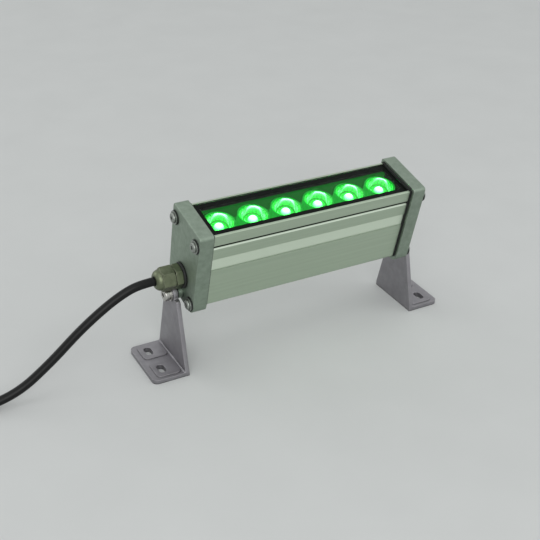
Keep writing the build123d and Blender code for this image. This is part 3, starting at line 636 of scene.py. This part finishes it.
# Extruded wire sleeves: glossy PVC, red and black.
RED_SLEEVE = Finish(
    "extruded_red_sleeve",
    tone="#b3201a",
    shade="#9a1813",
    mottle=2.0,
    grain=0.4,
)
BLACK_SLEEVE = Finish(
    "extruded_black_sleeve",
    tone="#202121",
    shade="#151616",
    roughness=(0.3, 0.42),
    mottle=2.0,
    grain=0.4,
)
# Turned stainless steel: bright, with fine tool marks.
STAINLESS = Finish(
    "turned_stainless_steel",
    tone="#c6c5c0",
    shade="#adaca7",
    metallic=1.0,
    roughness=(0.2, 0.34),
    mottle=1.5,
    grain=0.35,
    grain_height=0.006,
    edge_round=0.15,
    edge_wear_and_highlight_tone="#e4e3de",
)
# Zinc-plated steel screws, dulled by weather: grey with soft highlights.
ZINC_SCREW = Finish(
    "zinc_plated_steel",
    tone="#a3a8a2",
    shade="#8d928c",
    metallic=1.0,
    roughness=(0.32, 0.46),
    mottle=1.2,
    grain=0.35,
    grain_height=0.008,
    edge_round=0.15,
    edge_wear_and_highlight_tone="#c4c9c3",
    crevice=0.8,
    crevice_shade_tone="#0c0e0c",
)
# Black moulded nylon: low sheen.
NYLON = Finish(
    "moulded_black_nylon",
    tone="#222323",
    shade="#171818",
    roughness=(0.4, 0.55),
    mottle=2.5,
    grain=0.4,
)
# Nickel-plated brass, satin, its olive tones a painted green cast of the lamps' light: facets with soft
# highlights.
PLATED_BRASS = Finish(
    "nickel_plated_brass",
    tone="#7a816a",
    shade="#666d57",
    metallic=1.0,
    roughness=(0.34, 0.46),
    grain_height=0.012,
    edge_round=0.35,
    edge_wear_and_highlight_tone="#a9aa98",
    crevice=1.0,
)
# Extruded rubber jacket: black with a soft gloss along its top.
CORD_JACKET = Finish(
    "extruded_rubber_jacket",
    tone="#101111",
    shade="#0a0b0b",
    mottle=4.0,
    grain_height=0.012,
    extra={"Specular IOR Level": 0.25},
)
# Tinned ends of the board's small parts: bright solder.
TINNED_END = Finish(
    "tinned_solder_end",
    tone="#b9bcbc",
    shade="#9da0a0",
    metallic=1.0,
    roughness=(0.25, 0.4),
    mottle=0.8,
    grain=0.3,
)
# Moulded nylon connector shells: black, a little drier than the jacket.
CONNECTOR_NYLON = Finish(
    "moulded_nylon_shell",
    tone="#242526",
    shade="#181919",
    roughness=(0.42, 0.55),
    grain=0.35,
    grain_height=0.015,
    edge_round=0.3,
    edge_wear_and_highlight_tone="#3a3b3c",
)
# Painted board of the floor: pale and matt.
STUDIO_FLOOR = Finish(
    "painted_studio_floor",
    tone="#d6d8d7",
    shade="#d3d5d4",
    roughness=(0.7, 0.8),
    mottle=60.0,
    grain=3.0,
)


def dress(finish: Finish, *names: str) -> None:
    """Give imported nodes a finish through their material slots.

    Args:
        finish: what the surface is.
        names: the nodes' names.
    """
    for name in names:
        for held in frame["nodes"][name].material_slots:
            held.material = finish.material()
    log.info("%s: %s", finish.name, ", ".join(names))


# ---- surfaces


@dataclass(frozen=True)
class Grid:
    """A grid of points, numbered row by row, that repeats over one or more copies.

    The quad at (i, j) joins (i, j), (i, j + 1), (i + 1, j + 1) and (i + 1, j).
    """

    rows: int
    columns: int
    wrapped: bool = True  # the last column joins the first
    copies: int = 1

    def steps(self) -> tuple[np.ndarray, np.ndarray]:
        """Count the quads of one copy.

        Returns:
            Row and column numbers of every quad.
        """
        across = self.columns if self.wrapped else self.columns - 1
        i, j = np.meshgrid(np.arange(self.rows - 1), np.arange(across), indexing="ij")
        return i.ravel(), j.ravel()

    def faces(self) -> np.ndarray:
        """Join the points of all copies.

        Returns:
            Quads by vertex number.
        """
        i, j = self.steps()
        after = (j + 1) % self.columns
        low, high = i * self.columns, (i + 1) * self.columns
        one = np.stack([low + j, low + after, high + after, high + j], axis=-1)
        shift = np.arange(self.copies)[:, None, None] * self.rows * self.columns
        return (one + shift).reshape(-1, 4)

    def corners(self) -> np.ndarray:
        """Lay the UV map, in which u is the column's share and v the row's.

        Returns:
            The u and v of every quad's four corners.
        """
        i, j = self.steps()
        across = np.stack([j, j + 1, j + 1, j], axis=-1) / self.columns
        down = np.stack([i, i, i + 1, i + 1], axis=-1) / (self.rows - 1)
        return np.tile(np.stack([across, down], axis=-1), (self.copies, 1, 1))


def make_piece(
    name: str,
    points: np.ndarray,
    grid: Grid,
    *finishes: Finish,
    finish_rows: np.ndarray | None = None,
) -> bpy.types.Object:
    """Put a computed grid into a mesh whose object sits at the origin.

    Points that meet are joined, which closes seams and poles, and normals face out.

    Args:
        name: the piece's name.
        points: places in metres, in the grid's order.
        grid: how the points join.
        finishes: what the surface is, one or more.
        finish_rows: which finish each row of quads takes, where there are more.

    Returns:
        The new object.
    """
    mesh = bpy.data.meshes.new(name)
    mesh.from_pydata(points.reshape(-1, 3).tolist(), [], grid.faces().tolist())
    outline = grid.corners().astype(np.float32).ravel()
    mesh.uv_layers.new(name="outline").uv.foreach_set("vector", outline)
    if finish_rows is not None:
        chosen = np.tile(finish_rows[grid.steps()[0]], grid.copies)
        mesh.polygons.foreach_set("material_index", chosen.astype(np.int32))
    for finish in finishes:
        mesh.materials.append(finish.material())
    shell = bmesh.new()
    shell.from_mesh(mesh)
    bmesh.ops.remove_doubles(shell, verts=shell.verts, dist=MEET)
    bmesh.ops.recalc_face_normals(shell, faces=shell.faces)
    shell.to_mesh(mesh)
    shell.free()
    mesh.shade_smooth()
    mesh.set_sharp_from_angle(angle=math.radians(NEW_CREASE))
    piece = bpy.data.objects.new(name, mesh)
    bpy.context.scene.collection.objects.link(piece)
    log.info("%s: %d faces", name, len(mesh.polygons))
    return piece


@dataclass(frozen=True)
class LampFrame:
    """The lamp's section frame: its lean at rest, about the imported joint's pivot."""

    lean: float = 12.0  # degrees towards the front
    pivot: Vector = field(default_factory=lambda: Vector(frame["joints"][0]["pos_m"]))

    def across(self) -> Vector:
        """The lamp's own direction from front to back."""
        return Vector((0, math.cos(math.radians(self.lean)), math.sin(math.radians(self.lean))))

    def up(self) -> Vector:
        """The lamp's own up direction."""
        return Vector((0, -math.sin(math.radians(self.lean)), math.cos(math.radians(self.lean))))

    def place(self, x: np.ndarray, u: np.ndarray, v: np.ndarray) -> np.ndarray:
        """Turn places in the lamp's frame into the row's frame.

        y = pivot + u cos(lean) - v sin(lean) and z = pivot + u sin(lean) + v cos(lean).

        Args:
            x: millimetres along the lamp.
            u: millimetres across it.
            v: millimetres up it.

        Returns:
            Points in metres, with x, y and z last.
        """
        cosine, sine = math.cos(math.radians(self.lean)), math.sin(math.radians(self.lean))
        y = self.pivot.y + (u * cosine - v * sine) * MM
        z = self.pivot.z + (u * sine + v * cosine) * MM
        return np.stack(np.broadcast_arrays(x * MM, y, z), axis=-1)


LAMP = LampFrame()


def round_edges(node: str, radius: float, finish: Finish) -> bpy.types.Object:
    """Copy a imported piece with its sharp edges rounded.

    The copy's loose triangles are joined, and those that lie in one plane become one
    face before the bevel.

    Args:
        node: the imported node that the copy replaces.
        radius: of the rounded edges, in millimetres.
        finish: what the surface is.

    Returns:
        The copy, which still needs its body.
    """
    mesh = frame["nodes"][node].data.copy()
    shell = bmesh.new()
    shell.from_mesh(mesh)
    bmesh.ops.remove_doubles(shell, verts=shell.verts, dist=MEET)
    plane = math.radians(PLANE_WITHIN)
    bmesh.ops.dissolve_limit(shell, angle_limit=plane, verts=shell.verts, edges=shell.edges)
    shell.to_mesh(mesh)
    shell.free()
    mesh.materials.clear()
    mesh.materials.append(finish.material())
    piece = bpy.data.objects.new(f"{node}_rounded", mesh)
    bpy.context.scene.collection.objects.link(piece)
    bevel = piece.modifiers.new("edges", "BEVEL")
    bevel.width = radius * MM
    bevel.segments = ROUND_STEPS
    bevel.limit_method = "ANGLE"
    bevel.angle_limit = math.radians(ROUND_FROM)
    bpy.context.view_layer.update()
    graph = bpy.context.evaluated_depsgraph_get()
    rounded = bpy.data.meshes.new_from_object(piece.evaluated_get(graph))
    piece.modifiers.clear()
    piece.data = rounded
    rounded.shade_smooth()
    rounded.set_sharp_from_angle(angle=math.radians(ROUNDED_CREASE))
    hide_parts(node)
    log.info("%s: %d faces", piece.name, len(rounded.polygons))
    return piece


# ---- studio


@dataclass(frozen=True)
class SoftLamp:
    """A soft square lamp, hung in the row's frame and turned to its origin."""

    name: str
    place: Triple
    size: float
    watts: float

    def hang(self) -> None:
        """Make the lamp and turn it to the origin, where the object stands."""
        light = bpy.data.lights.new(self.name, "AREA")
        light.size = self.size * MM
        light.energy = self.watts
        holder = bpy.data.objects.new(self.name, light)
        holder.location = Vector(self.place) * MM
        holder.rotation_euler = (-holder.location).to_track_quat("-Z", "Y").to_euler()
        bpy.context.scene.collection.objects.link(holder)


@dataclass
class Studio:
    """A plain pale floor, soft lamps and the camera at the photograph's angle."""

    floor_half: float = 6000.0
    floor_points: int = 3
    floor_gap: float = 0.05  # the floor lies this far under the feet
    paleness: str = "#dfe1e1"
    ambient: float = 0.74
    surround: float = 1.0  # at which the paleness shows as it is written
    lamps: tuple[SoftLamp, ...] = (
        SoftLamp("key_light", (-1000, -2000, 1300), 1800, 21.0),
        SoftLamp("top_light", (-600, -200, 2600), 1800, 6.0),
        SoftLamp("fill_light", (2000, -1200, 1100), 1400, 6.0),
        SoftLamp("rim_light", (-1500, 1900, 1000), 1300, 5.0),
    )
    camera_place: Triple = (-320.742, -537.800, 413.248)
    camera_turn: float = 29.162  # degrees from +y towards +x
    camera_fall: float = 30.124  # degrees below the horizon
    camera_roll: float = 1.443
    camera_lens: float = 68.095
    camera_sensor: float = 36.0
    camera_nearest: float = 10.0

    def build(self) -> None:
        """Make the floor, the sky, the lamps and the camera."""
        self.floor()
        self.sky()
        for lamp in self.lamps:
            lamp.hang()
        self.camera()

    def floor(self) -> None:
        """Lay the floor: a flat grid, just under the feet."""
        line = np.linspace(-self.floor_half, self.floor_half, self.floor_points) * MM
        x, y = np.meshgrid(line, line, indexing="ij")
        points = np.stack([x, y, np.full_like(x, -self.floor_gap * MM)], axis=-1)
        grid = Grid(self.floor_points, self.floor_points, wrapped=False)
        floor = make_piece("studio_floor", points, grid, STUDIO_FLOOR)

    def sky(self) -> None:
        """Light the object evenly, and show a pale surround to camera, gloss and glass."""
        world = bpy.data.worlds.new("studio_world")
        bpy.context.scene.world = world
        world.use_nodes = True
        tree = world.node_tree
        tree.nodes.clear()
        rays = add_node(tree, "LightPath").outputs
        seen = rays["Is Camera Ray"]
        for other in ("Is Glossy Ray", "Is Transmission Ray"):
            links = {0: seen, 1: rays[other]}
            seen = add_node(tree, "Math", {"operation": "MAXIMUM"}, links).outputs[0]
        unseen, shown = (
            add_node(tree, "Background", {"Color": linear(self.paleness), "Strength": strength})
            for strength in (self.ambient, self.surround)
        )
        links = {0: seen, 1: unseen.outputs[0], 2: shown.outputs[0]}
        choice = add_node(tree, "MixShader", links=links)
        add_node(tree, "OutputWorld", links={"Surface": choice.outputs[0]})

    def camera(self) -> None:
        """Set the camera where the photograph was taken from.

        Forward is (sin turn cos fall, cos turn cos fall, -sin fall), and the roll turns
        the right and up directions about it.
        """
        angles = (self.camera_turn, self.camera_fall, self.camera_roll)
        turn, fall, roll = (math.radians(angle) for angle in angles)
        forward = Vector(
            (math.sin(turn) * math.cos(fall), math.cos(turn) * math.cos(fall), -math.sin(fall))
        )
        level = forward.cross(Vector((0, 0, 1))).normalized()
        above = level.cross(forward)
        right = level * math.cos(roll) + above * math.sin(roll)
        up = above * math.cos(roll) - level * math.sin(roll)
        data = bpy.data.cameras.new("photograph_camera")
        data.lens = self.camera_lens
        data.sensor_width = self.camera_sensor
        data.clip_start = self.camera_nearest * MM
        camera = bpy.data.objects.new("photograph_camera", data)
        turned = Matrix((right, up, -forward)).transposed().to_4x4()
        camera.matrix_world = Matrix.Translation(Vector(self.camera_place) * MM) @ turned
        bpy.context.scene.collection.objects.link(camera)
        bpy.context.scene.camera = camera


# ---- supply lead


@dataclass
class SupplyLead:
    """The lead from the gland to its waterproof connector, as one smooth tube."""

    # The same route as in the part's source, in metres. The rest is in millimetres.
    route: tuple[Triple, ...] = (
        (-0.1065, 0.00203041, 0.06828095),
        (-0.1165, 0.00203041, 0.06828095),
        (-0.1275, 0.0022, 0.0649),
        (-0.142, 0.0023, 0.0569),
        (-0.160, 0.0026, 0.0438),
        (-0.180, 0.003, 0.0258),
        (-0.204, 0.0036, 0.0082),
        (-0.232, 0.005, 0.003),
        (-0.262, 0.012, 0.003),
        (-0.292, 0.013, 0.003),
        (-0.322, 0.006, 0.0046),
        (-0.350, 0.0, 0.0085),
        (-0.374, 0.0, 0.0085),
    )
    radius: float = 3.0
    real_length: float = 289.0
    spline_order: int = 3
    smoothness: int = 12
    around: int = 40
    settles_at: Triple = (-0.172, 0.0028, 0.034)  # metres, where it follows the brackets

    def line(self) -> np.ndarray:
        """Follow the route's smooth spline, with the route as control points.

        Returns:
            Points along it, in metres.
        """
        curve = bpy.data.curves.new("lead_route", "CURVE")
        curve.dimensions = "3D"
        curve.resolution_u = self.smoothness
        spline = curve.splines.new("NURBS")
        spline.points.add(len(self.route) - 1)
        controls = np.c_[np.array(self.route), np.ones(len(self.route))]
        spline.points.foreach_set("co", controls.ravel())
        spline.order_u = self.spline_order
        spline.use_endpoint_u = True
        guide = bpy.data.objects.new("lead_route", curve)
        bpy.context.scene.collection.objects.link(guide)
        bpy.context.view_layer.update()
        graph = bpy.context.evaluated_depsgraph_get()
        traced = bpy.data.meshes.new_from_object(guide.evaluated_get(graph))
        path = np.zeros(len(traced.vertices) * 3)
        traced.vertices.foreach_get("co", path)
        bpy.data.objects.remove(guide)
        bpy.data.meshes.remove(traced)
        bpy.data.curves.remove(curve)
        return path.reshape(-1, 3)

    def build(self) -> None:
        """A ring at a point of the line is radius (cos a side + sin a above), where side is
        across the line's direction and level with y, and above is across both. The rings
        at the two ends shrink to a point, which closes the tube.
        """
        path = self.line()
        along = np.gradient(path, axis=0)
        along /= np.linalg.norm(along, axis=1, keepdims=True)
        above = np.cross(along, [0.0, 1.0, 0.0])
        above /= np.linalg.norm(above, axis=1, keepdims=True)
        side = np.cross(above, along)
        reach = np.full(len(path), self.radius * MM)
        path, side, above = (np.concatenate([a[:1], a, a[-1:]]) for a in (path, side, above))
        reach = np.concatenate([[0.0], reach, [0.0]])
        turn = np.linspace(0, 2 * math.pi, self.around, endpoint=False)
        cosine, sine = np.cos(turn)[None, :, None], np.sin(turn)[None, :, None]
        ring = side[:, None] * cosine + above[:, None] * sine
        points = path[:, None] + reach[:, None, None] * ring
        tube = make_piece("supply_lead", points, Grid(len(path), self.around), CORD_JACKET)
        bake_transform(tube)
        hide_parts("power_cord")
        dress(CORD_JACKET, "cord_tail", "connector_boot")
        dress(BLACK_SLEEVE, "supply_cores")
        dress(CONNECTOR_NYLON, "connector_body", "connector_collar")
        dress(PLATED_BRASS, "connector_pins")
        dress(BLACK_RUBBER, "connector_o_ring")


# ---- lamp body


@dataclass
class LampBody:
    """The extruded body with its window, seal, glass and the glass's enamel border."""

    glass_top: float = 57.2
    half_length: float = 74.6
    half_width: float = 16.1
    border_side: float = 4.0
    border_end: float = 2.8
    border_rise: float = 0.03
    outer_corner: float = 0.3
    inner_corner: float = 1.2
    corner_points: int = 8

    def outline(self, half_x: float, half_u: float, radius: float) -> tuple[np.ndarray, np.ndarray]:
        """A rectangle with round corners, as quarter circles about its corner centres.

        Args:
            half_x: half length along the lamp.
            half_u: half width across it.
            radius: of the corners.

        Returns:
            The x and u of its points, in millimetres.
        """
        quarter = np.linspace(0, math.pi / 2, self.corner_points)
        turn = (quarter + np.arange(4)[:, None] * math.pi / 2).ravel()
        way_x = np.repeat([1, -1, -1, 1], self.corner_points)
        way_u = np.repeat([1, 1, -1, -1], self.corner_points)
        x = way_x * (half_x - radius) + radius * np.cos(turn)
        u = way_u * (half_u - radius) + radius * np.sin(turn)
        return x, u

    def border(self) -> bpy.types.Object:
        """Lay the enamel: rings at its outer and inner outlines, below and above.

        Returns:
            The enamel's piece.
        """
        outer = self.outline(self.half_length, self.half_width, self.outer_corner)
        inner = self.outline(
            self.half_length - self.border_end,
            self.half_width - self.border_side,
            self.inner_corner,
        )
        low, top = self.glass_top, self.glass_top + self.border_rise
        rings = [(outer, low), (outer, top), (inner, top), (inner, low), (outer, low)]
        points = np.stack([LAMP.place(x, u, np.full_like(x, v)) for (x, u), v in rings])
        return make_piece("window_border", points, Grid(*points.shape[:2]), GLASS_ENAMEL)

    def build(self) -> None:
        """Lay the border and dress the body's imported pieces."""
        border = self.border()
        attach(border, LAMP_BODY)
        dress(ANODISED_EXTRUSION, "housing_extrusion")
        dress(BLACK_RUBBER, "glass_seal")
        dress(COVER_GLASS, "cover_glass")


@dataclass
class LightEngine:
    """The board under the window: six lit packages under lenses in their holders."""

    count: int = 6
    pitch: float = 25.0
    around: int = 96
    # A lens, with its heights measured up from the pivot axis
    lens_radius: float = 10.0
    rim: float = 52.5
    crown: float = 1.2  # the crown's top stands this far over the rim
    crown_points: int = 13
    collar_foot: float = 51.3
    collar_radius: float = 9.3
    foot: float = 43.2
    foot_radius: float = 4.4
    flank_bulge: float = 0.35
    bulge_power: float = 0.1
    flank_points: int = 17
    well_radius: float = 3.2
    well_depth: float = 4.4
    well_points: int = 11
    # Chips on the board, by x and u, with the size of one and the length of its ends
    board_face: float = 42.9
    chip_places: tuple[Span, ...] = (
        (-27.2, 9.4),
        (-22.8, 9.4),
        (-25.0, -9.4),
        (-2.2, -9.4),
        (2.2, -9.4),
        (22.8, 9.4),
        (27.2, 9.4),
        (25.0, -9.4),
    )
    chip_size: Triple = (3.2, 1.6, 0.6)
    chip_end: float = 0.5
    chip_end_over: float = 0.1  # the ends are this much thicker than the chip
    chip_power: float = 0.2
    chip_rings: int = 9
    chip_around: int = 24

    def stations(self) -> np.ndarray:
        """Places of the lenses along the lamp."""
        return (np.arange(self.count) - (self.count - 1) / 2) * self.pitch

    def lens_profile(self) -> np.ndarray:
        """Half outline of a lens, from the crown's top round to the well's top.

        The crown drops to its rim with the square of the radius, and the collar goes
        straight down from there. With r from 0 at the foot to 1 at the collar, the
        flank's radius is the foot's plus the way to the collar's times the square root
        of r and the bulge b + (1 - b) r ^ power. The well is a quarter of an ellipse.

        Returns:
            Rows of radius and height in millimetres.
        """
        out = np.linspace(0, 1, self.crown_points)
        crown = np.c_[self.lens_radius * out, self.rim + self.crown * (1 - out**2)]
        collar = np.array([[self.lens_radius, self.collar_foot]])
        rise = np.linspace(1, 0, self.flank_points)
        bulge = self.flank_bulge + (1 - self.flank_bulge) * rise**self.bulge_power
        flank = np.c_[
            self.foot_radius + (self.collar_radius - self.foot_radius) * np.sqrt(rise) * bulge,
            self.foot + (self.collar_foot - self.foot) * rise,
        ]
        swing = np.linspace(0, math.pi / 2, self.well_points)
        well = np.c_[self.well_radius * np.cos(swing), self.foot + self.well_depth * np.sin(swing)]
        return np.concatenate([crown, collar, flank, well])

    def lens_row(self) -> bpy.types.Object:
        """Turn the lenses about their axes.

        A lens is its half outline turned about v: x = station + r cos a, u = r sin a.
        A row of quads takes the finish of the face it starts from, and the collar's row
        takes the flank's.

        Returns:
            The piece of all lenses.
        """
        profile = self.lens_profile()
        turn = np.linspace(0, 2 * math.pi, self.around, endpoint=False)
        radius, height = profile[:, 0][None, :, None], profile[:, 1][None, :, None]
        x = self.stations()[:, None, None] + radius * np.cos(turn)
        u = np.broadcast_to(radius * np.sin(turn), x.shape)
        points = LAMP.place(x, u, np.broadcast_to(height, x.shape))
        rows = np.arange(len(profile) - 1)
        well_from = self.crown_points + 1 + self.flank_points
        faces = np.select(
            [rows < self.crown_points, rows < well_from], [LensFace.CROWN, LensFace.FLANK], LensFace.WELL
        )
        grid = Grid(len(profile), self.around, copies=self.count)
        finishes = (LENS_ACRYLIC, LENS_FLANK, LENS_WELL)
        return make_piece("lens_row", points, grid, *finishes, finish_rows=faces)

    def board_parts(self) -> None:
        """Solder the chips between the lenses, each with a tinned end at either side.

        A block is a superellipsoid: each coordinate is its half size times the signed
        power of the unit sphere's coordinate, and a small power makes it a rounded box.
        """
        fall = np.linspace(0, math.pi, self.chip_rings)[:, None]
        turn = np.linspace(0, 2 * math.pi, self.chip_around, endpoint=False)[None, :]
        sphere = [np.sin(fall) * np.cos(turn), np.sin(fall) * np.sin(turn), np.cos(fall) + 0 * turn]
        ball = np.stack(sphere, axis=-1)
        block = np.sign(ball) * np.abs(ball) ** self.chip_power
        places = np.array(self.chip_places)
        width, depth, height = self.chip_size
        chip = np.array([width - 2 * self.chip_end, depth, height]) / 2
        end = np.array([self.chip_end, depth + self.chip_end_over, height + self.chip_end_over]) / 2
        reach = (width - self.chip_end) / 2
        ends = np.concatenate([places + [reach, 0], places - [reach, 0]])
        for name, where, half, finish, slot in (
            ("board_chips", places, chip, DRIVER_PARTS, "driver_parts"),
            ("board_solder", ends, end, TINNED_END, "stainless_screws"),
        ):
            box = block * half
            x = where[:, 0][:, None, None] + box[..., 0]
            u = where[:, 1][:, None, None] + box[..., 1]
            v = self.board_face + half[2] + np.broadcast_to(box[..., 2], x.shape)
            grid = Grid(self.chip_rings, self.chip_around, copies=len(where))
            piece = make_piece(name, LAMP.place(x, u, v), grid, finish)
            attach(piece, LAMP_BODY)

    def build(self) -> None:
        """Make the lenses and the board's small parts, and dress what is packed."""
        lenses = self.lens_row()
        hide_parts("lenses")
        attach(lenses, LAMP_BODY)
        self.board_parts()
        dress(LENS_HOLDER, "lens_holders")
        dress(CIRCUIT_BOARD, "led_board")
        dress(LED_PACKAGE, "led_emitters")
        dress(THERMAL_PAD, "thermal_pad")
        dress(STAINLESS, "board_screws")


@dataclass
class Driver:
    """The driver in the bay under the board, with its leads."""

    def build(self) -> None:
        """Dress the driver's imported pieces."""
        dress(DRIVER_BOARD, "driver_board")
        dress(DRIVER_PARTS, "driver_components")
        dress(BLACK_RUBBER, "shelf_grommet")
        dress(RED_SLEEVE, "lead_positive")
        dress(BLACK_SLEEVE, "lead_negative")


@dataclass
class EndCap:
    """A cast end cap with its gasket and four screws."""

    end: End

    def build(self) -> None:
        """Dress the cap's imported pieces."""
        dress(CAST_CAP, f"{self.end.value}_end_cap")
        dress(BLACK_RUBBER, f"{self.end.value}_cap_gasket", f"{self.end.value}_cap_washers")
        dress(ZINC_SCREW, f"{self.end.value}_cap_screws")


@dataclass
class Bracket:
    """A bent bracket and the pivot that clamps the lamp to it."""

    end: End
    edge_radius: float = 0.4

    def build(self) -> None:
        """Round the bracket's edges, and dress its pivot hardware."""
        plate = round_edges(f"{self.end.value}_bracket", self.edge_radius, BRACKET_PLATE)
        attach(plate, BASE_BODY)
        dress(NYLON, f"{self.end.value}_friction_washer")
        for piece in ("flat_washer", "spring_washer", "pivot_bolt"):
            dress(STAINLESS, f"{self.end.value}_{piece}")


@dataclass
class Gland:
    """The cable gland: body, seals, dome nut and locknut."""

    def build(self) -> None:
        """Dress the gland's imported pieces."""
        dress(PLATED_BRASS, "gland_body", "gland_dome_nut", "gland_locknut")
        dress(BLACK_RUBBER, "gland_o_ring", "gland_seal_bush")


# ---- scene


def main() -> None:
    """Build every sub-assembly in order."""
    logging.basicConfig(level=logging.INFO, format="%(name)s: %(message)s")
    bpy.context.scene.view_settings.view_transform = "Standard"
    sub_assemblies = (
        Studio(),
        SupplyLead(),
        LampBody(),
        LightEngine(),
        Driver(),
        *(EndCap(end) for end in End),
        *(Bracket(end) for end in End),
        Gland(),
    )
    for sub_assembly in sub_assemblies:
        log.info("building %s", type(sub_assembly).__name__)
        sub_assembly.build()


if __name__ == "__main__":
    main()
